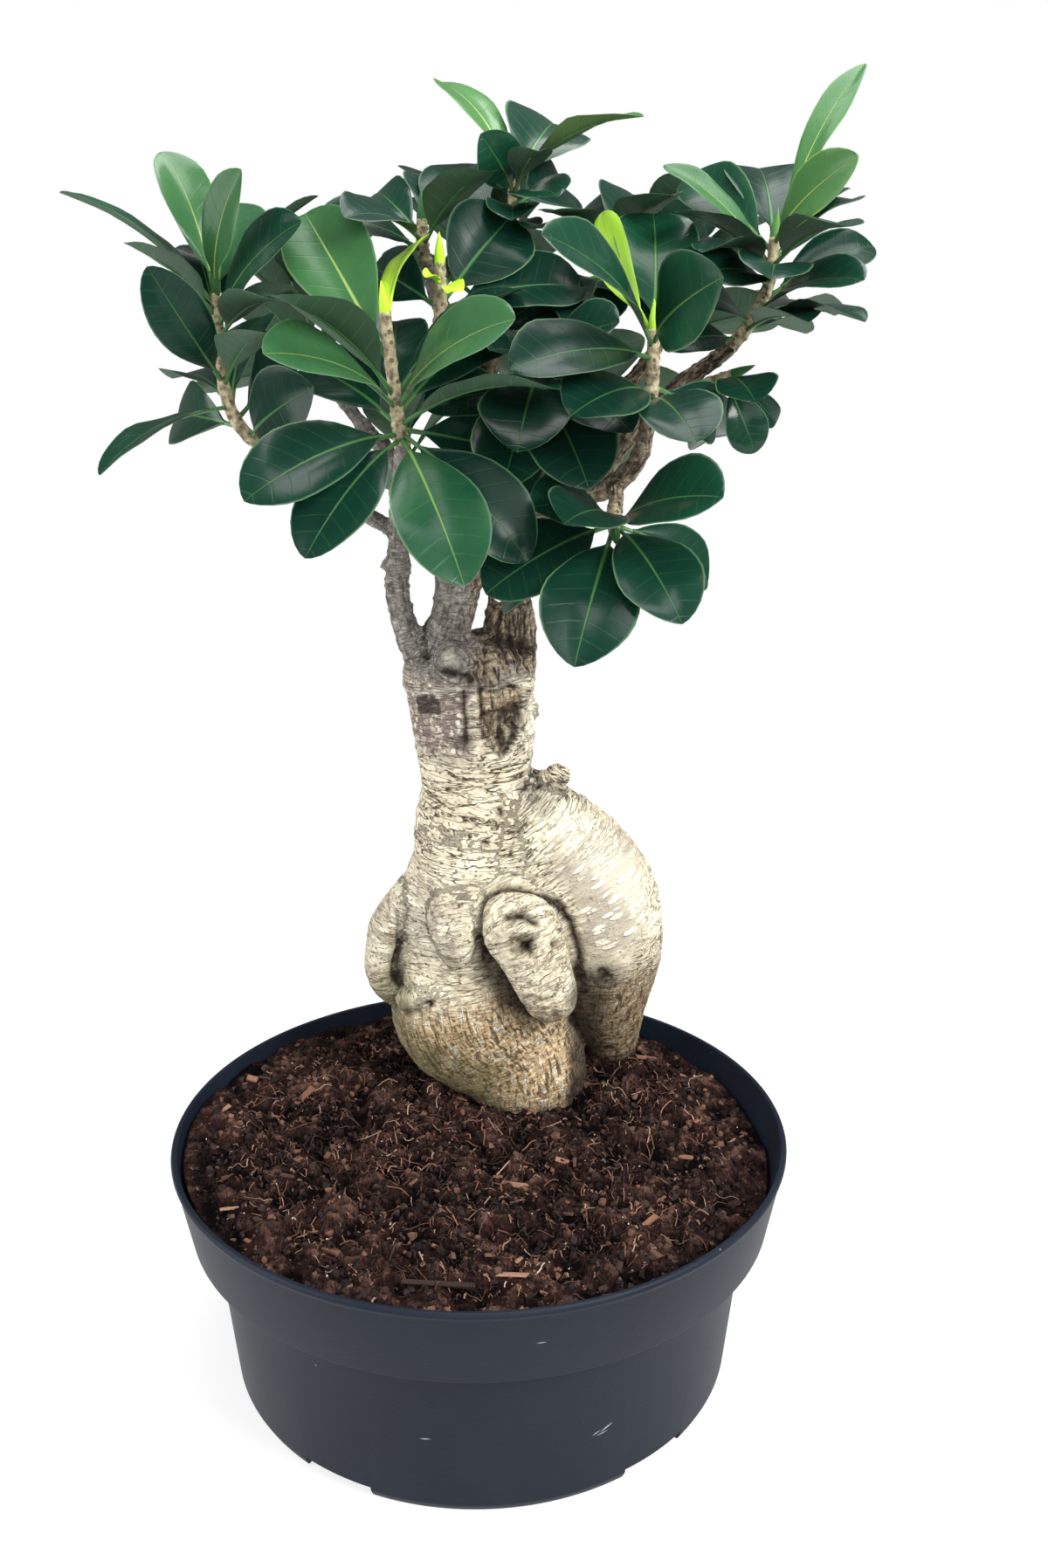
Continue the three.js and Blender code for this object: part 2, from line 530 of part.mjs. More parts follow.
// A leaf from its root on the stem to its tip. A swollen leaf, without its stalk, tests for room.
function leafGeometry(root, tip, width, face, swell = 0) {
  const chord = tip.clone().sub(root);
  const length = chord.length();
  const along = chord.clone().normalize();
  const normal = face.clone().addScaledVector(along, -face.dot(along)).normalize();
  const across = along.clone().cross(normal);
  const phase = 0.7 * width + 0.3 * length;
  const place = (t, side, rise) => {
    const bow = 4 * BLADE_BOW * length * t * (1 - t);
    return root.clone().addScaledVector(along, length * t)
      .addScaledVector(normal, bow + rise).addScaledVector(across, side);
  };
  const section = (t, half, thick) => {
    const rise = Math.sin(BLADE_FOLD) * half;
    const wave = BLADE_WAVE * (half / (0.5 * width));
    const left = place(t, -Math.cos(BLADE_FOLD) * half - swell, rise + wave * Math.sin(7 * t + phase));
    const right = place(t, Math.cos(BLADE_FOLD) * half + swell, rise + wave * Math.sin(8 * t + 2 * phase));
    return [left, place(t, 0, thick / 2 + swell), right, place(t, 0, -thick / 2 - swell)];
  };
  const rings = [];
  if (swell === 0) rings.push(section(0, PETIOLE_HALF_WIDTH, 2 * PETIOLE_HALF_WIDTH));
  for (const u of BLADE_ROWS) {
    const t = PETIOLE + (1 - PETIOLE) * u;
    const half = Math.max(PETIOLE_HALF_WIDTH, 0.5 * width * bladeHalfWidth(u));
    rings.push(section(t, half, BLADE_THICKNESS));
  }
  const end = tip.clone().addScaledVector(along, swell);
  return skin(rings, middleOf(rings[0]), end);
}

// A stalk is seated beside the middle of the stem, on the side that its leaf grows to
function leafRoot(path, place, aim) {
  const middle = path.getPoint(place);
  const stem = path.getTangent(place);
  const out = aim.clone().sub(middle);
  out.addScaledVector(stem, -out.dot(stem)).normalize();
  return middle.addScaledVector(out, PETIOLE_SEAT);
}

function turnedTip(root, tip, face, [swing, lift, scale]) {
  const chord = tip.clone().sub(root);
  const along = chord.clone().normalize();
  const normal = face.clone().addScaledVector(along, -face.dot(along)).normalize();
  const across = along.clone().cross(normal);
  chord.applyAxisAngle(normal, rad(swing)).applyAxisAngle(across, rad(lift));
  return root.clone().addScaledVector(chord, scale);
}

// Twigs

function buildStem(shoot) {
  const count = shoot.stem.length;
  const taper = (TWIG_RADIUS - TWIG_END_RADIUS) / (count - 1);
  const stations = shoot.stem.map(([x, y, z], index) => [x, y, z, TWIG_RADIUS - taper * index]);
  const points = shoot.stem.map(([x, y, z]) => new THREE.Vector3(x, y, z));
  const path = new THREE.CatmullRomCurve3(points, false, 'catmullrom');
  const tip = points[count - 1].clone().addScaledVector(path.getTangent(1), BUD_LENGTH);
  const neck = points[count - 1].clone().lerp(tip, 0.4);
  const bud = [[...neck.toArray(), BUD_RADIUS], [...tip.toArray(), BUD_TIP_RADIUS]];
  const start = path.getTangent(0);
  const behind = points[0].clone().addScaledVector(start, -GAP);
  const ahead = points[0].clone().addScaledVector(start, SEAT_LENGTH);
  const seat = [[...behind.toArray(), SEAT_RADIUS], [...ahead.toArray(), SEAT_RADIUS]];
  return { path, twig: toSolid(limb([...stations, ...bud])), seat: toSolid(limb(seat)) };
}

// Leaves that fan round the stem by a rule: higher ones are shorter and steeper
function extraLeaves(shoot, path) {
  const leaves = [];
  for (let index = 0; index < shoot.extra; index++) {
    const place = 0.25 + (0.72 * (index + 0.5)) / shoot.extra;
    const angle = rad(shoot.fan[0] + index * shoot.fan[1]);
    const lift = rad(5 + 48 * place);
    const length = 51 - 9 * place + 3 * Math.sin(5 * index);
    const stem = path.getTangent(place);
    const east = new THREE.Vector3(1, 0, 0).addScaledVector(stem, -stem.x).normalize();
    const north = stem.clone().cross(east);
    const out = east.multiplyScalar(Math.cos(angle)).addScaledVector(north, Math.sin(angle));
    const root = path.getPoint(place);
    const tip = root.clone().addScaledVector(out, length * Math.cos(lift))
      .addScaledVector(stem, length * Math.sin(lift));
    leaves.push([place, tip.x, tip.y, tip.z, 0.5 * length, stem.clone()]);
  }
  return leaves;
}

function boxesMeet(a, b) {
  return [0, 1, 2].every((axis) => a.min[axis] < b.max[axis] && b.min[axis] < a.max[axis]);
}

function shared(a, b) {
  if (!boxesMeet(a.boundingBox(), b.boundingBox())) return 0;
  const common = a.intersect(b);
  const volume = common.volume();
  common.delete();
  return volume;
}

// Each leaf takes the first small turn that leaves it clear of its neighbours
function growLeaf(node, leaf, path, neighbours) {
  const [place, x, y, z, width, face] = leaf;
  const aim = new THREE.Vector3(x, y, z);
  const root = leafRoot(path, place, aim);
  for (const turn of TURNS) {
    const tip = turnedTip(root, aim, face, turn);
    const blade = toSolid(leafGeometry(root, tip, width * turn[2], face));
    const swollen = toSolid(leafGeometry(root, tip, width * turn[2], face, CLEARANCE));
    const clear = neighbours.every((other) => {
      if (other.node === node) return other.stem || shared(swollen, other.solid) < SHARED_CROSSING;
      return shared(swollen, other.solid) + shared(blade, other.solid) === 0;
    });
    swollen.delete();
    if (clear) return { node, solid: blade, stem: false };
    blade.delete();
  }
  return null;
}

// The whole tree

const stems = SHOOTS.map(buildStem);
const trunk = buildTrunk(stems);
const pot = buildPot();
const soil = buildSoil();

const neighbours = [pot, soil, trunk].map((solid) => ({ node: 'base', solid, stem: false }));
stems.forEach((stem, index) => {
  neighbours.push({ node: SHOOTS[index].name, solid: stem.twig, stem: true });
});
const grown = SHOOTS.map(() => []);
for (const kind of ['leaves', 'extra']) {
  SHOOTS.forEach((shoot, index) => {
    const leaves = kind === 'leaves' ? shoot.leaves : extraLeaves(shoot, stems[index].path);
    for (const leaf of leaves ?? []) {
      const placed = growLeaf(shoot.name, leaf, stems[index].path, neighbours);
      if (!placed) continue;
      neighbours.push(placed);
      grown[index].push(placed.solid);
    }
  });
}

// Materials

const plastic = () => new THREE.MeshStandardMaterial({ color: 0x343a46, roughness: 0.5, metalness: 0 });
const coir = () => new THREE.MeshStandardMaterial({ color: 0x3a2620, roughness: 0.95, metalness: 0 });
const bark = () => new THREE.MeshStandardMaterial({ color: 0xc9b991, roughness: 0.8, metalness: 0 });
const leafGreen = () => new THREE.MeshStandardMaterial({ color: 0x1f4a33, roughness: 0.35, metalness: 0 });

function add(group, name, solid, material) {
  const mesh = new THREE.Mesh(toGeometry(solid), material);
  mesh.name = name;
  group.add(mesh);
}

const bonsai = new THREE.Group();
add(bonsai, 'pot', pot, plastic());
add(bonsai, 'soil', soil, coir());
add(bonsai, 'trunk', trunk, bark());
SHOOTS.forEach((shoot, index) => {
  add(bonsai, shoot.name, fuse([stems[index].twig, ...grown[index]]), leafGreen());
});

export default bonsai;
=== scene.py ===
"""A ficus ginseng bonsai in a round nursery bowl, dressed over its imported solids.

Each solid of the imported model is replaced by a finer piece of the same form, and the soil gets its
crumbs, fibres and bark chips. Lengths in the tables and methods are millimetres, and a piece's
vertices become metres when its mesh is finished.
"""

import logging
import math
import random
from collections.abc import Callable, Iterable, Sequence
from dataclasses import dataclass, field, replace
from enum import Enum
from typing import Any, Union

import bmesh
import bpy
import numpy as np
from mathutils import Matrix, Quaternion, Vector, kdtree, noise


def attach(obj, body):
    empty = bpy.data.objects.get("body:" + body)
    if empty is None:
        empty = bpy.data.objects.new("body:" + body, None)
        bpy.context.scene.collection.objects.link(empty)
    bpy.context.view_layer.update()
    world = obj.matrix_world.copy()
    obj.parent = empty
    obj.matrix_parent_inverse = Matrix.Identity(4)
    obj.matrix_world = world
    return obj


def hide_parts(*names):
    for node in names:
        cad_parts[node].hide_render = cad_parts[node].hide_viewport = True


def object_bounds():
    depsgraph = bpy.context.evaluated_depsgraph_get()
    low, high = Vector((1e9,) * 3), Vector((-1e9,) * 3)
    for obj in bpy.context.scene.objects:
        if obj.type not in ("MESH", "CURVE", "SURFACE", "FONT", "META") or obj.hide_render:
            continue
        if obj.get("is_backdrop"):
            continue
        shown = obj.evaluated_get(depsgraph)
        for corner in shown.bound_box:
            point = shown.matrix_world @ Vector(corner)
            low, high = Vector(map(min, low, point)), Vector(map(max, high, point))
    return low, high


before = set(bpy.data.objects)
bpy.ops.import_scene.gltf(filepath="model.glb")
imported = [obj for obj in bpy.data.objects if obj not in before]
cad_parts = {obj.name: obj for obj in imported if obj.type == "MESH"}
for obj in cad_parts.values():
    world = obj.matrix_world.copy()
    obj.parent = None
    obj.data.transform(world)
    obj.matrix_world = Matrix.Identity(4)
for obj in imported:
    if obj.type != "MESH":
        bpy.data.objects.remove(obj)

logging.basicConfig(level=logging.INFO, format="%(message)s")
log = logging.getLogger("bonsai")

CAD_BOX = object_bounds()
MM = 0.001
SEED = 41
GOLDEN_ANGLE = 137.5
MARK_STEP = 2.0
WART_REACH = 2.2
X, Y, Z = range(3)
PHOTO_WIDTH = 1200
PHOTO_HEIGHT = 1796

Station = tuple[float, ...]
Stations = Sequence[Station]
Outline = Sequence[tuple[float, float]]
Colour = tuple[float, float, float]


class Slot(Enum):
    """The record's material slots."""

    POT = "pot"
    SOIL = "soil"
    BARK = "bark"
    LEAF = "leaf"


class Facing(Enum):
    """The way the upper side of a leaf looks."""

    UP = (0.0, 0.0, 1.0)
    FRONT = (0.0, -1.0, 0.25)
    RAISED = (0.0, -0.7, 0.7)
    FRONT_LEFT = (-0.6, -0.8, 0.2)
    FRONT_RIGHT = (0.6, -0.8, 0.2)


UP, FRONT, RAISED, FRONT_LEFT, FRONT_RIGHT = Facing

# Roots and trunk, as stations of centre x, y, z and half width and half depth
ROOTS = {
    "graft": [
        (-3, 45, 196, 21.5, 21), (-1, 45, 215, 20.5, 20.5), (-1, 45, 231, 22.6, 21),
        (-2, 45, 248, 23.7, 21), (-3, 45, 260, 24.8, 21), (-4, 45, 268, 21, 17), (-5, 45, 271, 12, 10),
    ],
    "body": [
        (-3, 45, 204, 19, 19), (-4, 46, 183, 22, 23), (-5, 47, 165, 27, 27), (-3, 48, 145, 31, 30),
        (1, 48, 122, 37, 31), (10, 47, 106, 32.5, 28), (16.5, 45, 95, 27, 26), (18.5, 44, 86, 25.5, 25.5),
        (20, 44, 75, 23.5, 24), (20, 44, 52, 20, 20),
    ],
    "bulb": [
        (10, 46, 212, 12, 12), (19, 46, 203, 17, 18), (31, 47, 188, 23, 23.5), (42, 48, 170, 27, 26.5),
        (48, 50, 150, 26, 27), (49, 53, 132, 23.5, 24), (51, 58, 114, 18.5, 18), (54, 64, 100, 13.5, 13),
        (54, 68, 88, 12, 12), (54, 69, 52, 8, 9),
    ],
    "hook": [
        (6, 32, 176, 9, 9), (12, 23, 170, 14.5, 12), (18, 18, 160, 14.5, 12), (23, 17, 148, 12.5, 11),
        (27, 19, 136, 11, 9.5), (28, 22, 129, 7, 6),
    ],
    "fold": [
        (12, 42, 214, 8, 9), (12, 41, 205, 11, 13), (12, 40, 194, 12, 14.5), (13, 38, 184, 10, 13),
        (14, 36, 178, 6, 8),
    ],
    "nose": [
        (-9, 40, 181, 7, 7), (-9.5, 29.5, 175, 9.5, 9), (-9.5, 21.5, 166.5, 10, 8),
        (-8.5, 18.5, 158, 8, 6.5), (-7, 18.5, 151, 4.5, 4),
    ],
    "ear": [
        (-24, 44, 172, 8, 10), (-34, 42, 160, 8, 12), (-38, 42, 148, 7, 13), (-37, 43, 136, 7, 12),
        (-29, 45, 126, 7, 9),
    ],
    "ridge": [
        (-30, 31, 130, 4.5, 4.5), (-24, 27, 134, 5, 4.6), (-17, 24, 138, 4.4, 4.2), (-10, 24, 140, 3, 3),
    ],
    "backLeft": [
        (0, 58, 182, 14, 13), (-4, 68, 162, 17, 15), (-4, 75, 140, 16, 15), (-1, 79, 118, 13, 13),
        (1, 81, 98, 11, 11), (2, 81, 84, 10, 10), (2, 81, 52, 8, 8),
    ],
    "backRight": [
        (18, 60, 176, 15, 14), (24, 70, 154, 16, 15), (28, 77, 132, 13, 13), (30, 82, 110, 10, 10),
        (31, 84, 88, 9, 9), (31, 84, 52, 7, 7),
    ],
}
STUBS = {
    "stump": [
        (10, 45, 258, 12.5, 13), (12.5, 45, 270, 10.5, 10), (13, 45, 279, 9, 9), (13, 45, 284, 8.5, 8),
    ],
    "spike": [(7, 43, 276, 3.5, 3.5), (6.5, 43, 284, 2.4, 2.5), (5, 43, 291, 1.2, 1.2)],
    "pruned": [
        (-9, 40, 264, 7, 7), (-8, 28, 266, 7, 7), (-7.5, 20.5, 267.5, 6.8, 6.8),
        (-7.5, 18.4, 267.8, 5.4, 5.4),
    ],
    "tooth": [(17, 45, 278, 3, 3), (18.5, 45, 286, 2.4, 2.4), (18.5, 45, 289, 1.2, 1.2)],
    "stumpKnob": [(17, 43, 278, 3, 3), (21.5, 42, 280.5, 2.4, 2.4)],
    "lowKnob": [(17, 43, 268, 3, 3), (22, 42, 268.5, 2.6, 2.6)],
    "shoulder": [(24, 42, 211, 7, 7), (30, 41, 217, 6, 6), (33, 41, 222, 3, 3)],
    "leftNub": [(-18, 45, 196, 4, 4), (-25, 44, 195, 2, 2)],
    "rightNub": [(17, 45, 242, 5, 5), (23, 45, 244, 2.5, 3)],
}

# Bare main branches, as stations of centre x, y, z and radius
BRANCHES = {
    "thinLeft": [
        (-18, 44, 262, 6), (-24, 43, 271, 5), (-28, 42, 286, 4.4), (-28, 40, 299, 4.6),
        (-27, 34, 314, 3.4), (-26, 16, 328, 3.1), (-23, -12, 340, 3), (-22, -30, 346, 2.7),
        (-22, -33, 347, 2.6),
    ],
    "toLeft": [
        (-28, 35, 312, 2.8), (-40, 32, 320, 2.9), (-53, 26, 327, 2.8), (-62, 18, 335, 2.8),
        (-66, 13, 341, 2.7), (-68, 12, 343, 2.6),
    ],
    "middle": [
        (-10, 45, 258, 11), (-12, 45, 268, 9.2), (-8, 44, 282, 8), (-6, 42, 295, 8.4), (-4, 38, 312, 6.8),
        (-3, 34, 327, 5.8), (1, 30, 352, 4.8), (6, 28, 375, 4.2), (12, 26, 400, 3.4), (13, 24, 412, 2.8),
        (13, 24, 415, 2.7),
    ],
    "toYoung": [(-2, 33, 345, 3.6), (-6, 14, 365, 3.4), (-10, -5, 379, 3), (-10, -8, 384, 2.8)],
    "toUpperLeft": [(3, 29, 361, 3.4), (-8, 22, 384, 3), (-15, 15, 400, 2.7), (-16, 14, 403, 2.6)],
    "toCentre": [(-3, 34, 332, 3.4), (10, 16, 349, 3), (18, 4, 358, 2.7), (20, 1, 361, 2.6)],
    "toUpperRight": [(6, 28, 376, 3.4), (27, 30, 386, 3), (42, 27, 393, 2.7), (45, 26, 396, 2.6)],
    "toRight": [
        (-4, 38, 308, 4.6), (18, 30, 318, 4.2), (35, 15, 325, 4), (53, 18, 347, 3.6), (67, 14, 362, 3.2),
        (80, 9, 372, 2.8), (86, 7, 377, 2.6),
    ],
    "toFrontRight": [
        (35, 16, 325, 3.6), (47, -6, 334, 3.4), (53, -17, 343, 3), (54, -27, 354, 2.7), (54, -28, 358, 2.6),
    ],
    "toLowFront": [(46, -4, 333, 3.2), (46, -14, 330, 2.8), (45, -21, 326, 2.7), (45, -23, 325, 2.6)],
    "toLowerRight": [(60, 16, 355, 2.8), (69, 8, 360, 2.6), (76, 2, 364, 2.5), (78, 0, 365, 2.4)],
    "toBackLeft": [
        (-4, 39, 308, 4), (-20, 50, 326, 3.6), (-38, 58, 345, 3), (-48, 64, 357, 2.7), (-50, 65, 359, 2.6),
    ],
    "toBack": [
        (0, 31, 345, 3.6), (2, 42, 360, 3.4), (4, 58, 373, 2.9), (5, 66, 380, 2.7), (5, 67, 382, 2.6),
    ],
    "toBackRight": [
        (18, 30, 318, 3.6), (34, 42, 340, 3.4), (52, 52, 358, 3), (62, 58, 369, 2.7), (63, 59, 371, 2.6),
    ],
    "toLowBackLeft": [(-18, 49, 321, 3), (-20, 58, 325, 2.8), (-22, 66, 330, 2.6), (-22, 67, 332, 2.5)],
    "toLowBackRight": [(30, 38, 333, 3), (33, 50, 336, 2.8), (36, 62, 340, 2.6), (37, 64, 341, 2.5)],
}

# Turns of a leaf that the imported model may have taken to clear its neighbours: swing, lift and length
TURNS = [
    (0, 0, 1), (8, 0, 1), (-8, 0, 1), (0, 8, 1), (0, -8, 1), (10, 8, 1), (-10, 8, 1),
    (10, -8, 1), (-10, -8, 1), (0, 15, 1), (0, -15, 1), (18, 0, 0.95), (-18, 0, 0.95),
    (16, 14, 0.9), (-16, 14, 0.9), (16, -14, 0.9), (-16, -14, 0.9), (0, 24, 0.85), (0, -24, 0.85),
    (28, 0, 0.8), (-28, 0, 0.8), (24, 20, 0.75), (-24, 20, 0.75), (0, 0, 0.6),
]


# Curves and meshes


class Curve:
    """A Catmull-Rom curve through its stations, run by t from 0 to 1."""

    def __init__(self, stations: Iterable[Sequence[float]]) -> None:
        self.stations = [Vector(station) for station in stations]

    def _span(self, t: float) -> tuple[Vector, Vector, Vector, Vector, float]:
        """The cubic's coefficients at t, and the place within its span."""
        last = len(self.stations) - 1
        place = min(max(t, 0.0), 1.0) * last
        first = min(int(place), last - 1)
        here, there = self.stations[first], self.stations[first + 1]
        before = self.stations[first - 1] if first > 0 else here * 2 - there
        after = self.stations[first + 2] if first + 2 <= last else there * 2 - here
        start, end = (there - before) / 2, (after - here) / 2
        square = (there - here) * 3 - start * 2 - end
        cube = (here - there) * 2 + start + end
        return here, start, square, cube, place - first

    def at(self, t: float) -> Vector:
        """The point at t."""
        here, start, square, cube, s = self._span(t)
        return here + start * s + square * s**2 + cube * s**3

    def heading(self, t: float) -> Vector:
        """The unit tangent at t."""
        _, start, square, cube, s = self._span(t)
        return (start + square * (2 * s) + cube * (3 * s**2)).normalized()

    def length(self, steps: int = 40) -> float:
        """The curve's length, from a chain of chords."""
        points = [self.at(step / steps) for step in range(steps + 1)]
        return sum((b - a).length for a, b in zip(points, points[1:]))


def circle(around: float) -> tuple[float, float]:
    """The cosine and sine of a share of a full turn."""
    angle = 2 * math.pi * around
    return math.cos(angle), math.sin(angle)


Place = Callable[[float, float], Vector]
Paint = Callable[[bmesh.types.BMVert, float, float], None]


def rolled(
    shape: bmesh.types.BMesh, rows: int, sides: int, place: Place, paint: Paint | None = None
) -> None:
    """Rolls a grid up into a closed tube and closes its ends.

    Args:
        shape: The mesh that the tube is added to.
        rows: Faces along the tube.
        sides: Faces round the tube.
        place: The point, in millimetres, at a share along and a share round.
        paint: Writes attributes on a vertex at a share along and a share round.
    """
    verts = bmesh.ops.create_grid(shape, x_segments=sides, y_segments=rows, size=1.0)["verts"]
    for vert in verts:
        along, around = (vert.co.y + 1) / 2, (vert.co.x + 1) / 2
        vert.co = place(along, around) * MM
        if paint:
            paint(vert, along, around)
    bmesh.ops.remove_doubles(shape, verts=verts, dist=1e-6)
    edges = dict.fromkeys(edge for vert in verts if vert.is_valid for edge in vert.link_edges)
    open_edges = [edge for edge in edges if edge.is_boundary]
    if open_edges:
        bmesh.ops.holes_fill(shape, edges=open_edges, sides=0)


class Limb:
    """A root, stub or branch through its stations, with an oval section."""

    def __init__(self, stations: Stations) -> None:
        self.path = Curve(station[:3] for station in stations)
        self.size = Curve((station[3], station[-1], 0.0) for station in stations)
        run = self.path.stations[-1] - self.path.stations[0]
        sideways = abs(run.x) > max(abs(run.y), abs(run.z))
        self.across = Vector((0, 1, 0)) if sideways else Vector((1, 0, 0))

    def section(self, t: float) -> tuple[Vector, Vector, Vector, Vector]:
        """The centre, the width and depth axes and the half sizes at t."""
        along = self.path.heading(t)
        wide = (self.across - along * self.across.dot(along)).normalized()
        return self.path.at(t), wide, along.cross(wide), self.size.at(t)

    def skin(self, along: float, around: float) -> Vector:
        """The point of the limb's surface at a share along and a share round."""
        centre, wide, deep, half = self.section(along)
        cosine, sine = circle(around)
        return centre + wide * (half.x * cosine) + deep * (half.y * sine)


def rounded(
    shape: bmesh.types.BMesh, edges: Sequence[bmesh.types.BMEdge], radius: float, segments: int
) -> None:
    """Rounds edges of a mesh to a radius in millimetres."""
    bmesh.ops.bevel(
        shape, geom=edges, offset=radius * MM, offset_type="OFFSET", segments=segments, profile=0.5,
        affect="EDGES", material=-1, clamp_overlap=True,
    )


def finished(shape: bmesh.types.BMesh, name: str, smooth: bool = True) -> bpy.types.Object:
    """Turns a mesh under construction into an object in the scene.

    Args:
        shape: The mesh, in metres, which is used up.
        name: The object's name.
        smooth: Whether its faces are shaded smooth.

    Returns:
        The object, at the origin.
    """
    bmesh.ops.recalc_face_normals(shape, faces=shape.faces)
    for face in shape.faces:
        face.smooth = smooth
    mesh = bpy.data.meshes.new(name)
    shape.to_mesh(mesh)
    shape.free()
    piece = bpy.data.objects.new(name, mesh)
    bpy.context.scene.collection.objects.link(piece)
    return piece


def placed(
    piece: bpy.types.Object, slot: Slot, materials: Sequence[bpy.types.Material], *nodes: str
) -> None:
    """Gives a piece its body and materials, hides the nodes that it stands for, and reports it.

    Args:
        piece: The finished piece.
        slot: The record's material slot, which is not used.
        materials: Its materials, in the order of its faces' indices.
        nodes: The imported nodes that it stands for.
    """
    for material in materials:
        piece.data.materials.append(material)
    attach(piece, "root")
    if nodes:
        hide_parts(*nodes)
    triangles = sum(len(face.vertices) - 2 for face in piece.data.polygons)
    log.info("%s: %d triangles", piece.name, triangles)


def baked(piece: bpy.types.Object) -> bpy.types.Mesh:
    """Removes an object and returns its mesh with the modifiers applied."""
    graph = bpy.context.evaluated_depsgraph_get()
    mesh = bpy.data.meshes.new_from_object(piece.evaluated_get(graph))
    bpy.data.objects.remove(piece)
    return mesh


def ease(value: np.ndarray, low: float, high: float) -> np.ndarray:
    """Goes smoothly from 0 at low to 1 at high, of which either may be the larger."""
    share = np.clip((value - low) / (high - low), 0.0, 1.0)
    return share * share * (3 - 2 * share)


def rough(points: np.ndarray, scale: float, octaves: int = 1) -> np.ndarray:
    """Noise from -1 to 1 at points, with lumps of about a given size."""
    return np.array([noise.fractal(Vector(point) / scale, 1.0, 2.0, octaves) for point in points.tolist()])


# Shader graphs


Amount = Union["Wire", float]


def maths(operation: str, swapped: bool = False) -> Callable[..., "Wire"]:
    """A method of Wire that adds a Math node, with its two values swapped where asked."""
    def method(*values: Amount) -> "Wire":
        """The node's result."""
        ordered = values[::-1] if swapped else values
        return values[0].graph.node("ShaderNodeMath", {"operation": operation}, dict(enumerate(ordered)))
    return method


class Wire:
    """A shader socket. Arithmetic on it adds Math nodes, so it is for numbers."""

    def __init__(self, graph: "Graph", socket: bpy.types.NodeSocket) -> None:
        self.graph = graph
        self.socket = socket

    __add__ = __radd__ = maths("ADD")
    __sub__ = maths("SUBTRACT")
    __rsub__ = maths("SUBTRACT", swapped=True)
    __mul__ = __rmul__ = maths("MULTIPLY")
    __truediv__ = maths("DIVIDE")
    __abs__ = maths("ABSOLUTE")
    fraction = maths("FRACT")

    def eased(self, low: float, high: float) -> "Wire":
        """Rises or falls smoothly from 0 where self is low to 1 where it is high."""
        if low > high:
            return 1 - self.eased(high, low)
        sockets = {"Value": self, "From Min": low, "From Max": high}
        return self.graph.node("ShaderNodeMapRange", {"interpolation_type": "SMOOTHSTEP"}, sockets)

    def line(self, centre: float, reach: float) -> "Wire":
        """1 where self is at centre, and 0 further off than reach."""
        return abs(self - centre).eased(reach, 0.0)


Value = Wire | float | Sequence[float]


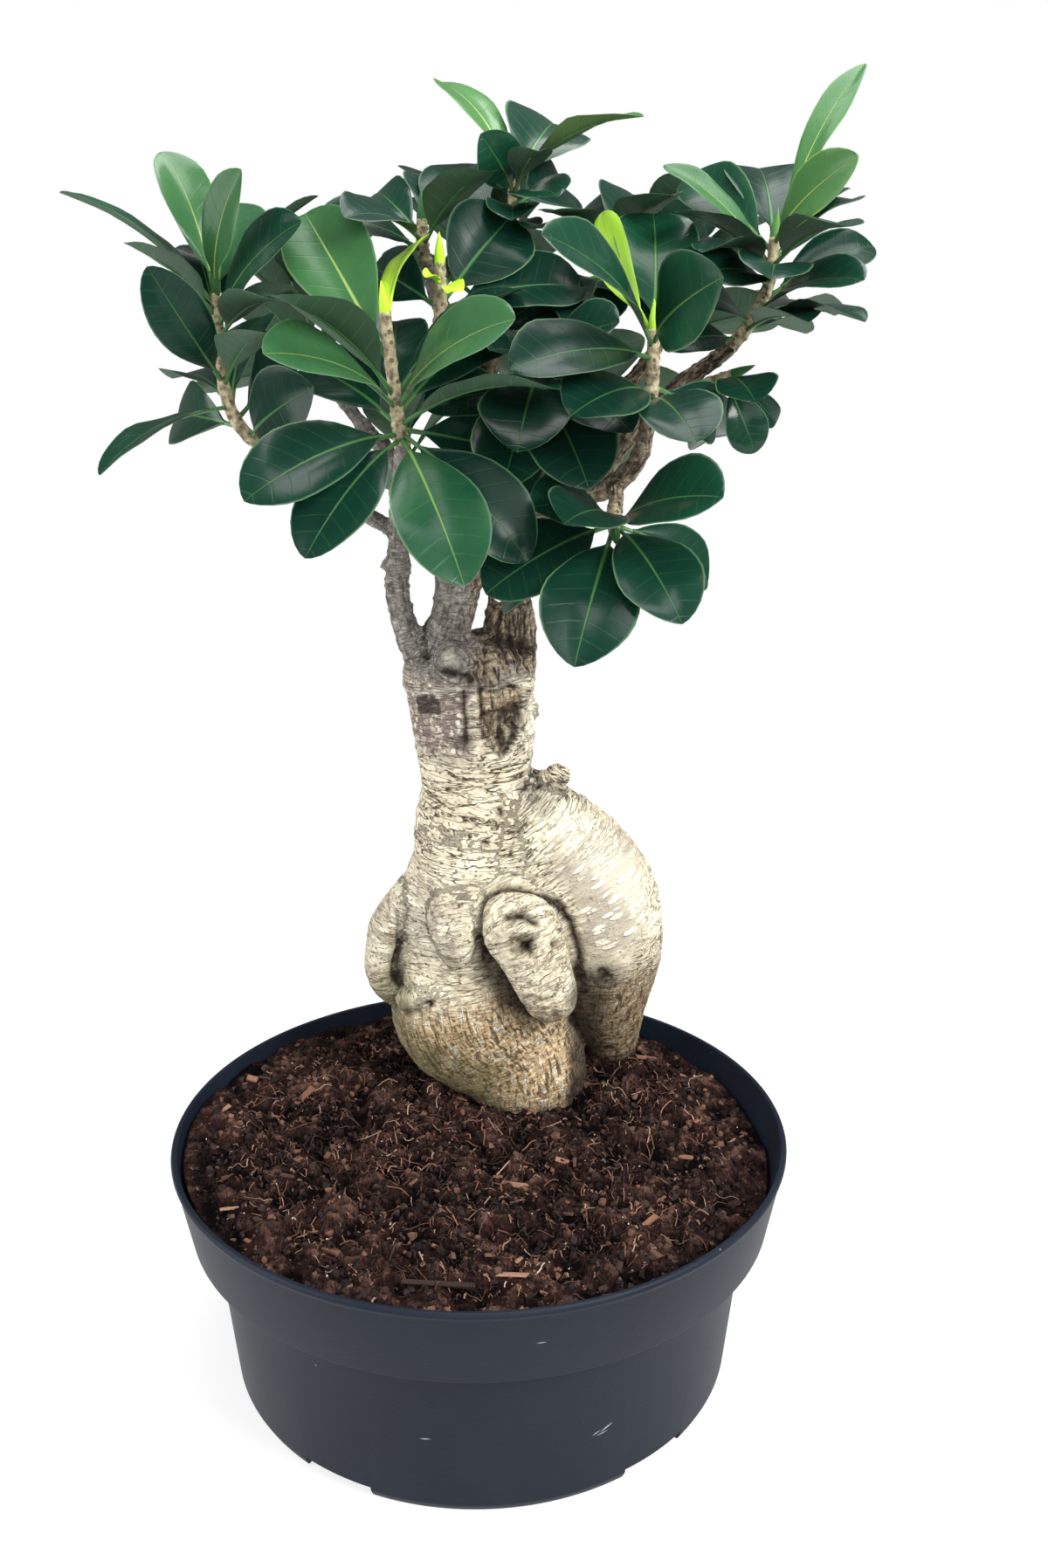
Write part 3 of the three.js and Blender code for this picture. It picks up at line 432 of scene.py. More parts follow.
class Graph:
    """The node tree of one material, and short words for its common nodes."""

    def __init__(self, name: str) -> None:
        self.material = bpy.data.materials.new(name)
        self.material.use_nodes = True
        self.tree = self.material.node_tree
        self.tree.nodes.clear()

    def node(
        self, kind: str, settings: dict[str, Any], sockets: dict[Any, Value], output: int | str = 0
    ) -> Wire:
        """Adds a node.

        Args:
            kind: The node's type.
            settings: Its properties, set before its sockets.
            sockets: A value or a wire for each socket, by its name or its index.
            output: The name or index of the output wanted.

        Returns:
            The wire of that output.
        """
        made = self.tree.nodes.new(kind)
        for name, value in settings.items():
            if name == "stops":
                self._stops(made.color_ramp, value)
            else:
                setattr(made, name, value)
        shown = [socket for socket in made.inputs if socket.enabled]
        for key, value in sockets.items():
            socket = shown[key] if isinstance(key, int) else next(s for s in shown if s.name == key)
            if isinstance(value, Wire):
                self.tree.links.new(value.socket, socket)
            else:
                socket.default_value = value
        outputs = [socket for socket in made.outputs if socket.enabled]
        found = outputs[output] if isinstance(output, int) else next(s for s in outputs if s.name == output)
        return Wire(self, found)

    @staticmethod
    def _stops(ramp: bpy.types.ColorRamp, stops: Sequence[tuple[float, Colour]]) -> None:
        """Sets a ramp's stops, each a position and a colour."""
        while len(ramp.elements) < len(stops):
            ramp.elements.new(1.0)
        for element, (position, colour) in zip(ramp.elements, stops):
            element.position = position
            element.color = (*colour, 1.0)

    def place(self) -> Wire:
        """The point on the object, in metres."""
        return self.node("ShaderNodeTexCoord", {}, {}, "Object")

    def attribute(self, name: str) -> Wire:
        """A vector that the piece's vertices carry."""
        return self.node("ShaderNodeAttribute", {"attribute_name": name}, {}, "Vector")

    def parts(self, vector: Wire) -> tuple[Wire, Wire, Wire]:
        """The three numbers of a vector."""
        made = self.node("ShaderNodeSeparateXYZ", {}, {"Vector": vector})
        return tuple(Wire(self, socket) for socket in made.socket.node.outputs)

    def stretched(self, vector: Wire, scale: Sequence[float]) -> Wire:
        """A vector with each axis scaled."""
        return self.node("ShaderNodeMapping", {}, {"Vector": vector, "Scale": scale})

    def clouds(self, vector: Wire, scale: float, detail: float = 3.0, distortion: float = 0.0) -> Wire:
        """Soft noise from 0 to 1."""
        sockets = {"Vector": vector, "Scale": scale, "Detail": detail, "Distortion": distortion}
        return self.node("ShaderNodeTexNoise", {}, sockets)

    def cells(self, vector: Wire, scale: float) -> Wire:
        """The distance to the nearest of scattered points."""
        return self.node("ShaderNodeTexVoronoi", {}, {"Vector": vector, "Scale": scale}, "Distance")

    def ramp(self, factor: Wire, stops: Sequence[tuple[float, Colour]]) -> Wire:
        """A colour that goes through stops as the factor rises."""
        return self.node("ShaderNodeValToRGB", {"stops": stops}, {0: factor})

    def mixed(self, factor: Amount, first: Value, second: Value) -> Wire:
        """A colour between two colours."""
        values = [v if isinstance(v, Wire) else (*v, 1.0) for v in (first, second)]
        sockets = {"Factor": factor, "A": values[0], "B": values[1]}
        return self.node("ShaderNodeMix", {"data_type": "RGBA"}, sockets)

    def layered(self, colour: Value, *layers: tuple[Amount, Value]) -> Wire:
        """A colour with other colours laid over it in order, each by its own amount."""
        for amount, other in layers:
            colour = self.mixed(amount, colour, other)
        return colour

    def surface(self, sockets: dict[str, Value], height: Wire, depth: float) -> bpy.types.Material:
        """Closes the tree with one shader.

        Args:
            sockets: The shader's own sockets.
            height: The relief, from about 0 to 1.
            depth: How deep the relief is, in millimetres.

        Returns:
            The finished material.
        """
        bump = self.node("ShaderNodeBump", {}, {"Strength": 1.0, "Distance": depth * MM, "Height": height})
        shader = self.node("ShaderNodeBsdfPrincipled", {}, {**sockets, "Normal": bump})
        output = self.tree.nodes.new("ShaderNodeOutputMaterial")
        self.tree.links.new(shader.socket, output.inputs["Surface"])
        return self.material


# Finishes


@dataclass(frozen=True)
class LeafFinish:
    """Glossy leaf skin with a pale midrib, fine side veins and a thin pale edge."""

    deep: Colour = (0.0035, 0.024, 0.015)
    grown: Colour = (0.006, 0.048, 0.022)
    fresh: Colour = (0.080, 0.210, 0.062)
    lime: Colour = (0.460, 0.760, 0.040)
    underside: Colour = (0.050, 0.100, 0.065)
    rib: Colour = (0.070, 0.210, 0.055)
    rib_young: Colour = (0.550, 0.700, 0.160)
    edge: Colour = (0.160, 0.300, 0.120)
    vein_pairs: float = 8.0
    vein_slant: float = 0.17
    roughness: float = 0.27
    relief: float = 0.5

    def material(self) -> bpy.types.Material:
        """Builds the material, which reads the blade and mood attributes."""
        graph = Graph("leaf_skin")
        along, side, rim = graph.parts(graph.attribute("blade"))
        youth, tone, under = graph.parts(graph.attribute("mood"))
        place = graph.place()
        clouds = graph.clouds(place, 60.0)
        quilt = graph.clouds(place, 230.0, 2.0)
        rib = (abs(side) / (1.3 - along)).eased(0.050, 0.012)
        vein = ((along - abs(side) * self.vein_slant) * self.vein_pairs).fraction().line(0.5, 0.07)
        vein = vein * (1 - rim).eased(0.0, 0.3) * (1 - rib)
        age = youth + (tone - 0.5) * 0.16 + (clouds - 0.5) * 0.16
        stops = [(0.0, self.deep), (0.16, self.grown), (0.6, self.fresh), (1.0, self.lime)]
        blade = graph.layered(
            graph.ramp(age, stops),
            (vein * 0.08, self.rib),
            (rib * (0.75 - along * 0.35), graph.mixed(youth.eased(0.0, 0.6), self.rib, self.rib_young)),
            (rim.eased(0.95, 1.0) * 0.7, self.edge),
        )
        below = graph.layered(
            self.underside, (youth.eased(0.2, 1.0), self.lime), (vein * 0.25 + clouds * 0.2, self.edge)
        )
        height = clouds * 0.25 + quilt * 0.10 - vein * 0.08 - rib * 0.35 * (1 - under)
        sockets = {
            "Base Color": graph.mixed(under, blade, below),
            "Roughness": self.roughness + clouds * 0.10 + under * 0.22 - tone * 0.06,
            "Coat Weight": (1 - under) * (0.06 + tone.eased(0.55, 1.0) * 0.30),
            "Coat Roughness": 0.16,
            "Specular IOR Level": 0.15,
        }
        return graph.surface(sockets, height, self.relief)


@dataclass(frozen=True)
class TwigFinish:
    """Olive-tan bark of the young twigs, with dark leaf scars."""

    bark: Colour = (0.300, 0.250, 0.150)
    pale: Colour = (0.520, 0.450, 0.290)
    scar: Colour = (0.070, 0.048, 0.030)

    def material(self) -> bpy.types.Material:
        """Builds the material."""
        graph = Graph("twig_bark")
        place = graph.place()
        clouds = graph.clouds(place, 500.0, 4.0)
        scars = graph.cells(place, 330.0).eased(0.30, 0.18)
        colour = graph.ramp(clouds, [(0.3, self.scar), (0.48, self.bark), (0.68, self.pale)])
        colour = graph.mixed(scars * 0.8, colour, self.scar)
        sockets = {"Base Color": colour, "Roughness": 0.70 + clouds * 0.15}
        return graph.surface(sockets, clouds - scars * 0.5, 0.5)


@dataclass(frozen=True)
class BarkFinish:
    """Pale wrinkled root skin that turns grey-brown on the trunk and branches, with painted shade laid into
    its creases and hollows.
    """

    shade: Colour = (0.520, 0.450, 0.330)
    cream: Colour = (0.700, 0.630, 0.460)
    bright: Colour = (0.880, 0.835, 0.670)
    grey: Colour = (0.420, 0.368, 0.290)
    line: Colour = (0.120, 0.078, 0.045)
    tan: Colour = (0.440, 0.260, 0.110)
    honey: Colour = (0.680, 0.490, 0.265)
    tan_dark: Colour = (0.090, 0.054, 0.030)
    wood: Colour = (0.115, 0.085, 0.062)
    wood_pale: Colour = (0.330, 0.255, 0.170)
    branch: Colour = (0.245, 0.222, 0.198)
    branch_dark: Colour = (0.110, 0.095, 0.085)
    branch_pale: Colour = (0.440, 0.405, 0.360)
    purple: Colour = (0.230, 0.172, 0.158)
    # Near-black: the darkest wood of the scar, and the colour of the painted shade on the skin
    dead_wood_and_shade: Colour = (0.030, 0.020, 0.014)
    algae: Colour = (0.130, 0.120, 0.040)

    def root(self, graph: Graph, grain: Wire, mottle: Wire, fine: Wire) -> tuple[Wire, Wire]:
        """The root skin's colour and height, with wavy wrinkle lines, flakes and pale dashes."""
        lined, dashed, _ = graph.parts(graph.attribute("pattern"))
        hoops = graph.clouds(graph.stretched(grain, (0.032, 0.032, 0.20)), 1.0, 4.0, 0.45)
        hairs = graph.clouds(graph.stretched(grain, (0.07, 0.07, 0.40)), 1.0, 3.0, 0.5)
        wide = (hoops * 8).fraction().line(0.5, 0.15) * (0.45 + fine.eased(0.42, 0.54) * 0.75)
        thin = (hairs * 7).fraction().line(0.5, 0.17) * (0.35 + mottle.eased(0.60, 0.40) * 0.4)
        lines = (wide + thin) * lined
        dashes = graph.cells(graph.stretched(grain, (0.12, 0.12, 0.44)), 1.0).eased(0.43, 0.33) * dashed
        flakes = graph.cells(graph.place(), 330.0).eased(0.26, 0.14) * fine.eased(0.46, 0.58)
        pores = graph.cells(graph.place(), 430.0).eased(0.27, 0.15) * mottle.eased(0.42, 0.58)
        stops = [(0.34, self.shade), (0.5, self.cream), (0.66, self.bright)]
        colour = graph.layered(
            graph.ramp(mottle * 0.4 + fine * 0.6, stops),
            (dashed * 0.9, self.grey),
            (dashes * 0.9 + flakes * 0.6, self.bright),
            (lines + pores * 0.6, self.line),
        )
        return colour, fine * 0.4 + flakes * 0.15 + dashes * 0.3 - lines * 0.5 - pores * 0.2

    def lower(self, graph: Graph, ridges: Wire, crack: Wire) -> Wire:
        """The colour of the tan, cracked skin near the soil."""
        stops = [(0.43, self.tan_dark), (0.47, self.tan), (0.53, self.honey), (0.60, self.bright)]
        return graph.mixed(crack * 0.85, graph.ramp(ridges, stops), self.tan_dark)

    def upper(self, graph: Graph, weave: Wire, crack: Wire, specks: Wire) -> Wire:
        """The colour of the grey-brown bark of the trunk's top and the branches."""
        stops = [(0.38, self.branch_dark), (0.5, self.branch), (0.63, self.branch_pale)]
        colour = graph.ramp(weave, stops)
        return graph.layered(colour, (crack * 0.25, self.branch_dark), (specks * 0.6, self.branch_pale))

    def material(self) -> bpy.types.Material:
        """Builds the material, which reads the grain, skin, spots and pattern attributes."""
        graph = Graph("bark_skin")
        grain = graph.attribute("grain")
        brown, tan, dark = graph.parts(graph.attribute("skin"))
        purple, algae, pale = graph.parts(graph.attribute("spots"))
        _, _, fibrous = graph.parts(graph.attribute("pattern"))
        place = graph.place()
        mottle = graph.clouds(place, 60.0, 4.0, 0.4)
        fine = graph.clouds(place, 480.0, 5.0, 0.5)
        grit = graph.clouds(place, 1500.0, 3.0)
        threads = graph.clouds(graph.stretched(grain, (0.62, 0.62, 0.13)), 1.0, 5.0, 0.8)
        crack = (threads * 4).fraction().line(0.5, 0.18)
        specks = graph.cells(place, 230.0).eased(0.20, 0.10)
        lenticels = graph.cells(graph.stretched(grain, (0.27, 0.27, 0.36)), 1.0).eased(0.31, 0.19)
        ridges = threads * 0.6 + fine * 0.4
        weave = threads * 0.45 + fine * 0.55
        wood = [(0.38, self.dead_wood_and_shade), (0.45, self.wood), (0.53, self.wood_pale), (0.63, self.cream)]
        root, height = self.root(graph, grain, mottle, fine)
        colour = graph.layered(
            root,
            (specks * 0.4, self.line),
            (tan, self.lower(graph, ridges, crack)),
            (brown, self.upper(graph, weave, crack, specks)),
            (fibrous, graph.ramp(ridges, wood)),
            (purple * (fine.eased(0.60, 0.40) * 0.7 + 0.3), self.purple),
            (purple * lenticels * 0.8, self.bright),
            (algae * (0.35 + mottle * 0.6), self.algae),
            (pale * (0.5 + fine * 0.6), self.bright),
            # The skin's dark: mostly painted shade in creases, grooves, pits and the scar's hollow, and the
            # hook's painted shadow on the bulb
            (dark * (0.65 + fine * 0.6), self.dead_wood_and_shade),
        )
        grooves = (threads - crack * 0.3) * (brown * 0.4 + tan * 0.6 + fibrous * 0.8)
        height = height * (1 - brown * 0.5) + grooves + grit * 0.06 - specks * 0.2 + purple * lenticels * 0.2
        sockets = {
            "Base Color": colour,
            "Roughness": 0.66 + fine * 0.22 + dark * 0.1,
            "Specular IOR Level": 0.25,
        }
        return graph.surface(sockets, height, 1.6)


@dataclass(frozen=True)
class SoilFinish:
    """Dark moist coir and peat, with painted shade in the hollows between its clods and painted light on
    their tops.
    """

    # The darkest tone is dark peat and the painted shade of the hollows; the palest is pale coir and the
    # painted light on the clods' tops
    peat_and_hollow_shade: Colour = (0.0015, 0.0010, 0.0012)
    brown: Colour = (0.024, 0.011, 0.009)
    coir_and_top_light: Colour = (0.125, 0.068, 0.052)

    def material(self) -> bpy.types.Material:
        """Builds the material of the soil's surface, which reads the tone attribute."""
        graph = Graph("soil_skin")
        place = graph.place()
        clod, _, _ = graph.parts(graph.attribute("tone"))
        lumps = graph.clouds(place, 160.0, 5.0, 1.0)
        crumbs = graph.cells(place, 520.0)
        strands = graph.clouds(graph.stretched(place, (900.0, 180.0, 400.0)), 1.0, 4.0, 2.0)
        patches = graph.clouds(place, 38.0, 3.0, 0.5)
        # The clod tone, from how high each point stands on its clod, paints shade into the hollows and light
        # onto the tops; the other noises are the soil's own tone
        tone = lumps * 0.3 + strands * 0.3 + clod * 0.4 + (patches - 0.5) * 0.25
        colour = graph.ramp(tone, [(0.42, self.peat_and_hollow_shade), (0.54, self.brown), (0.68, self.coir_and_top_light)])
        height = lumps * 0.5 + strands * 0.4 - crumbs * 0.5
        sockets = {"Base Color": colour, "Roughness": 0.85 + lumps * 0.1, "Specular IOR Level": 0.05}
        return graph.surface(sockets, height, 2.0)


@dataclass(frozen=True)
class CrumbFinish:
    """Loose bits on the soil, which carry a tone from dark peat to pale fibre."""

    peat: Colour = (0.005, 0.003, 0.003)
    brown: Colour = (0.045, 0.025, 0.020)
    rust: Colour = (0.220, 0.105, 0.066)
    fibre: Colour = (0.400, 0.280, 0.200)
    speck: Colour = (0.700, 0.640, 0.540)

    def material(self) -> bpy.types.Material:
        """Builds the material, which reads the tone attribute."""
        graph = Graph("crumb_skin")
        tone, _, _ = graph.parts(graph.attribute("tone"))
        fine = graph.clouds(graph.place(), 1300.0, 3.0)
        stops = [
            (0.0, self.peat), (0.35, self.brown), (0.62, self.rust), (0.82, self.fibre), (1.0, self.speck),
        ]
        patches = graph.clouds(graph.place(), 38.0, 3.0, 0.5)
        colour = graph.ramp(tone + (fine - 0.5) * 0.25 + (patches - 0.5) * 0.45, stops)
        sockets = {"Base Color": colour, "Roughness": 0.8 + fine * 0.15, "Specular IOR Level": 0.2}
        return graph.surface(sockets, fine, 0.3)


@dataclass(frozen=True)
class Scratch:
    """A pale scratch on the front of the pot: its middle, length, width and turn in degrees."""

    x: float
    z: float
    length: float
    width: float
    turn: float

    def mask(self, x: Wire, z: Wire) -> Wire:
        """1 on the scratch, from coordinates in metres."""
        cosine, sine = math.cos(math.radians(self.turn)), math.sin(math.radians(self.turn))
        right, up = x / MM - self.x, z / MM - self.z
        along = right * cosine + up * sine
        across = up * cosine - right * sine
        return along.line(0.0, self.length / 2) * across.line(0.0, self.width)


@dataclass(frozen=True)
class PotFinish:
    """Near-black slate plastic, satin, with a faint marbling, dust and a few scratches."""

    dark: Colour = (0.005, 0.008, 0.015)
    slate: Colour = (0.010, 0.015, 0.025)
    dust: Colour = (0.250, 0.270, 0.290)
    scratch: Colour = (0.400, 0.420, 0.440)
    scratches: Sequence[Scratch] = (
        Scratch(-19.2, 31.9, 4.5, 0.35, 5),
        Scratch(38.0, 27.2, 4.0, 0.30, 25),
        Scratch(41.5, 28.2, 6.0, 0.45, 30),
        Scratch(40.0, 26.3, 5.0, 0.30, 12),
        Scratch(18.4, 80.0, 4.0, 0.25, 0),
    )

    def material(self) -> bpy.types.Material:
        """Builds the material."""
        graph = Graph("pot_plastic")
        place = graph.place()
        x, y, z = graph.parts(place)
        clouds = graph.clouds(place, 18.0, 5.0, 0.5)
        fine = graph.clouds(place, 900.0, 3.0)
        specks = graph.cells(place, 75.0).eased(0.035, 0.015)
        colour = graph.ramp(clouds * 0.7 + fine * 0.3, [(0.3, self.dark), (0.7, self.slate)])
        colour = graph.mixed(specks * 0.5, colour, self.dust)
        front = y.eased(-0.070, -0.080)
        for scratch in self.scratches:
            colour = graph.mixed(scratch.mask(x, z) * front, colour, self.scratch)
        sockets = {
            "Base Color": colour,
            "Roughness": 0.40 + clouds * 0.12 + fine * 0.06,
            "Specular IOR Level": 0.16,
        }
        return graph.surface(sockets, fine * 0.6 + clouds * 0.4, 0.12)


# Roots, trunk and branches


class MarkKind(Enum):
    """The kinds of mark on the bark."""

    BUMP = "bump"
    RINGS = "rings"
    RIM = "rim"
    WARTS = "warts"


@dataclass(frozen=True)
class Mark:
    """A groove, pit, knob, ringed spot, raised rim or warty patch, at a point or along a path.

    The height is outwards, and negative for a groove. The pitch is the distance between rings, the
    width of a rim or the size of a wart. The dark is how dark the mark is at its middle.
    """

    kind: MarkKind
    radius: float
    height: float
    path: Sequence[tuple[float, float, float]]
    pitch: float = 1.0
    # A mark's dark paints shade into its groove, crevice, crack or pit; on a rim, knob or patch it is the
    # bark's own darker colour
    dark: float = 0.0

    def distance(self, points: np.ndarray) -> np.ndarray:
        """How far each point is from the mark's path."""
        path = np.array(self.path)
        closest = np.linalg.norm(points - path[0], axis=1)
        for start, end in zip(path, path[1:]):
            run = end - start
            share = np.clip((points - start) @ run / (run @ run), 0, 1)
            closest = np.minimum(closest, np.linalg.norm(points - start - share[:, None] * run, axis=1))
        return closest

    def laid(self, points: np.ndarray) -> "Mark":
        """The mark with its path laid on the nearest points of the skin."""
        path = np.array(self.path, dtype=float)
        spots = [path[0]]
        for start, end in zip(path, path[1:]):
            steps = math.ceil(np.linalg.norm(end - start) / MARK_STEP)
            spots.extend(start + (end - start) * step / steps for step in range(1, steps + 1))
        nearest = [np.argmin(((points - spot) ** 2).sum(axis=1)) for spot in spots]
        return replace(self, path=[tuple(points[index].tolist()) for index in dict.fromkeys(nearest)])

    def nearness(self, far: np.ndarray) -> np.ndarray:
        """1 on the mark's path, or on its ring, falling to nothing far from it."""
        share = (far - self.radius) / self.pitch if self.kind is MarkKind.RIM else far / self.radius
        return np.exp(-(share**2))

    def relief(self, points: np.ndarray) -> np.ndarray:
        """How far the mark moves each point outwards."""
        far = self.distance(points)
        fade = self.nearness(far)
        if self.kind is MarkKind.RINGS:
            return self.height * fade * np.cos(2 * math.pi * far / self.pitch)
        if self.kind is MarkKind.WARTS:
            near = far < WART_REACH * self.radius
            bumps = np.zeros(len(points))
            bumps[near] = rough(points[near], self.pitch)
            return self.height * fade * bumps
        return self.height * fade


BUMP, RINGS, RIM, WARTS = MarkKind

# Marks of the roots and trunk; the dark of a groove, crevice, crack or pit is painted shade
MARKS = [
    # The ringed drooping lobe, its knobby tip and the valley at its left
    Mark(RINGS, 11, 0.4, [(-9.7, 11, 168)], 3.4),
    Mark(WARTS, 5, 1.0, [(-7.6, 10.9, 154)], 2.6),
    Mark(BUMP, 3.2, -1.2, [(-19, 19, 174), (-18.4, 15.5, 161), (-14.2, 14.5, 152.6)], dark=0.15),
    # The crevice between the lobe and the hook, and the hollow below it, with painted shade in both
    Mark(BUMP, 1.8, -1.8, [(1.8, 19, 176), (1.1, 16, 168), (1.6, 18, 157), (3.9, 20.9, 152.7)], dark=0.85),
    Mark(BUMP, 6.0, -1.8, [(4, 20, 150), (8, 20, 143), (12, 20, 135)], dark=0.9),
    # The crease between the hook and the big root, with painted shade along it
    Mark(
        BUMP, 1.8, -1.4, [
            (4.1, 20.4, 177.6), (10.7, 21, 180.4), (18.9, 20.7, 179.7), (30.7, 24.6, 172.3),
            (35.7, 23.8, 164), (38.6, 24.9, 152.6), (40.1, 29, 135.9),
        ], dark=1.0,
    ),
    # The brow of the hook, the lips below it and the pits, with painted shade under the brow and in the pits
    Mark(BUMP, 1.7, -2.8, [(11.4, 12, 172.0), (16.5, 11, 172.9), (21.5, 10, 171.4)], dark=0.8),
    Mark(BUMP, 1.0, -0.8, [(10.4, 11, 173.6), (16, 11, 174.4), (21.5, 11, 173.4)], dark=0.3),
    Mark(BUMP, 1.9, 1.9, [(7, 10, 168.4), (12, 9.5, 168.8), (17.5, 9, 168.0)]),
    Mark(BUMP, 1.8, 1.6, [(21.5, 9, 168.2), (26.5, 9.5, 167)]),
    Mark(BUMP, 3.0, -4.2, [(17.4, 7.4, 162.4)], dark=0.85),
    Mark(BUMP, 1.3, -1.6, [(12.8, 7.6, 160.4), (16, 7.4, 161.8), (20.4, 7.4, 165)], dark=0.5),
    Mark(BUMP, 1.1, -1.2, [(19.6, 7.6, 159.6), (17.4, 7.4, 162), (14.6, 7.4, 165)], dark=0.4),
    Mark(BUMP, 1.8, -2.6, [(29.6, 9.6, 162.6)], dark=0.7),
    Mark(RIM, 3.4, 1.0, [(20.5, 9.1, 141.6)], 1.1, 0.35),
    Mark(BUMP, 2.4, 1.4, [(29, 11, 139)]),
    Mark(WARTS, 9, 1.9, [(27, 11, 136)], 3.0),
    Mark(BUMP, 3.5, -1.2, [(17, 20, 131), (24, 22, 127), (33, 27, 126)], dark=0.8),
    # The crease of the flattened ear, with painted shade in the crease
    Mark(BUMP, 1.2, -1.0, [(-31, 31, 170), (-32, 33, 160), (-31.5, 32.4, 150)], dark=0.35),
    Mark(BUMP, 1.6, -1.0, [(-32, 33, 149), (-33.5, 33.4, 138)], dark=0.55),
    Mark(BUMP, 3.0, 1.2, [(-14, 14.5, 137)]),
    Mark(BUMP, 1.6, -1.8, [(-19.3, 19.6, 133.2)], dark=0.8),
    # The dark crack and the small knots of the neck
    Mark(BUMP, 0.9, -0.6, [(19.5, 27, 204.5), (15.6, 26.5, 200.5), (12, 25.5, 193)], dark=0.4),
    Mark(RIM, 2.2, 0.7, [(-4.1, 24.6, 206.3)], 0.9),
    Mark(BUMP, 1.2, -1.3, [(-4.1, 24.6, 206.3)], dark=0.7),
    Mark(RIM, 2.0, 0.6, [(3.3, 25.2, 196.6)], 0.9),
    Mark(BUMP, 1.3, -1.4, [(3.3, 25.2, 196.6)], dark=0.8),
    Mark(BUMP, 1.4, -1.6, [(8.5, 26.5, 209.8), (9.8, 26.8, 207.6)], dark=0.8),
    # The bare patch and the ragged dead wood of the shoulder
    Mark(BUMP, 4.5, -0.7, [(20, 33, 215), (24.9, 30, 209)], dark=0.4),
    Mark(WARTS, 9, 2.8, [(31, 38, 216)], 3.4),
    Mark(BUMP, 3.5, 0.4, [(31, 36, 217)], dark=0.7),
    # The knots of the big root
    Mark(BUMP, 1.6, -1.6, [(47.6, 24.4, 144.4), (50.6, 24.4, 143)], dark=0.8),
    Mark(RIM, 3.6, 1.0, [(49.5, 24.4, 143.6)], 1.2, 0.35),
    Mark(RIM, 6.0, 0.6, [(49.5, 24.4, 143.6)], 1.2, 0.2),
    Mark(BUMP, 2.0, -1.6, [(71, 42, 154), (72, 44, 150)], dark=0.6),
    # The pruned stub, its rolled edge and the crevice below it, with painted shade in the crevice
    Mark(RIM, 4.4, 0.8, [(-8.8, 16.5, 269)], 1.1, 0.35),
    Mark(RIM, 8.0, -1.6, [(-7.5, 21.5, 267.5)], 1.0),
    Mark(BUMP, 1.9, -2.6, [(-10.5, 18, 264.6), (-6.5, 18.5, 263.2), (-2.2, 25, 261.2)], dark=1.2),
    Mark(WARTS, 5, 1.4, [(-2, 26, 266)], 2.8),
    Mark(RIM, 1.7, 0.8, [(-15.6, 27.8, 260.1)], 0.8),
    # The crack and ridges that frame the hollow scar, with painted shade in the cracks
    Mark(BUMP, 0.9, -0.9, [(-4.7, 24.3, 256), (-4.2, 24, 246), (-4.0, 24.5, 237)], dark=0.9),
    Mark(
        BUMP, 1.4, 0.8, [(-1.0, 24, 257), (-0.3, 24, 248), (1.5, 24.5, 241), (5, 25.5, 235), (10, 27, 228)],
    ),
    Mark(
        BUMP, 1.8, 1.4,
        [(18.6, 34, 258), (18.4, 33, 249), (16.4, 31.5, 241), (13.6, 29.5, 234), (11, 27.5, 229)],
    ),
    Mark(
        BUMP, 1.0, -1.4, [(15.6, 31, 249), (15.6, 31, 245), (14.8, 29.5, 240), (10.4, 27.2, 232)], dark=1.0,
    ),
    Mark(BUMP, 0.9, -0.8, [(1.5, 24.9, 257), (8, 27, 258), (14.9, 30.7, 256.0)], dark=0.5),
    Mark(
        BUMP, 0.9, -0.6, [(1.8, 24, 256), (2.4, 23, 251), (1.0, 23, 243), (4.5, 24, 236), (8.2, 25, 231.4)],
        dark=0.65,
    ),
    Mark(BUMP, 1.0, -0.8, [(2.1, 25.5, 247), (7.7, 27.4, 248.2), (14.5, 31, 246.4)], dark=0.9),
    Mark(BUMP, 0.8, -0.7, [(18.4, 32.4, 255), (18.9, 32, 247), (18.0, 30.5, 240), (14, 29, 231)], dark=0.45),
    Mark(WARTS, 4, 1.5, [(4.5, 27, 248), (12.5, 29, 247.5)], 2.2),
    Mark(BUMP, 2.0, -1.2, [(9, 28, 246.5), (13.5, 30, 249)], dark=0.7),
    Mark(WARTS, 8, 1.0, [(19, 38, 237)], 3.0),
    # The dark fringe and the ragged wood of the stump
    Mark(BUMP, 2.4, -1.6, [(4, 33, 273), (6.5, 35, 272), (14.6, 36.2, 270), (21, 41, 267.5)], dark=0.75),
    Mark(WARTS, 10, 3.0, [(12, 42, 281)], 3.0),
    Mark(BUMP, 1.0, -1.3, [(7.5, 36, 262), (8.5, 36.5, 284)], dark=0.7),
    Mark(BUMP, 1.0, -1.2, [(12.5, 35, 261), (12.5, 36.5, 286)], dark=0.6),
    Mark(BUMP, 1.0, -1.2, [(17, 36.5, 264), (16.8, 37.5, 285)], dark=0.7),
    Mark(WARTS, 8, 1.8, [(15, 40, 265)], 2.8),
    Mark(WARTS, 6, 1.6, [(21, 42, 247), (20, 40, 240)], 2.8),
    # Knobby rings of the thin branch
    Mark(WARTS, 6, 2.4, [(-28, 38, 299)], 2.6),
    Mark(BUMP, 2.0, 1.8, [(-32, 37, 300)]),
    Mark(BUMP, 2.0, 2.0, [(-23, 37, 297)]),
    Mark(BUMP, 1.6, 1.2, [(-28, 36, 303)]),
    Mark(WARTS, 5, 1.0, [(-27, 38, 283)], 2.5),
    Mark(WARTS, 9, 1.1, [(-8, 36, 292)], 3.2),
]


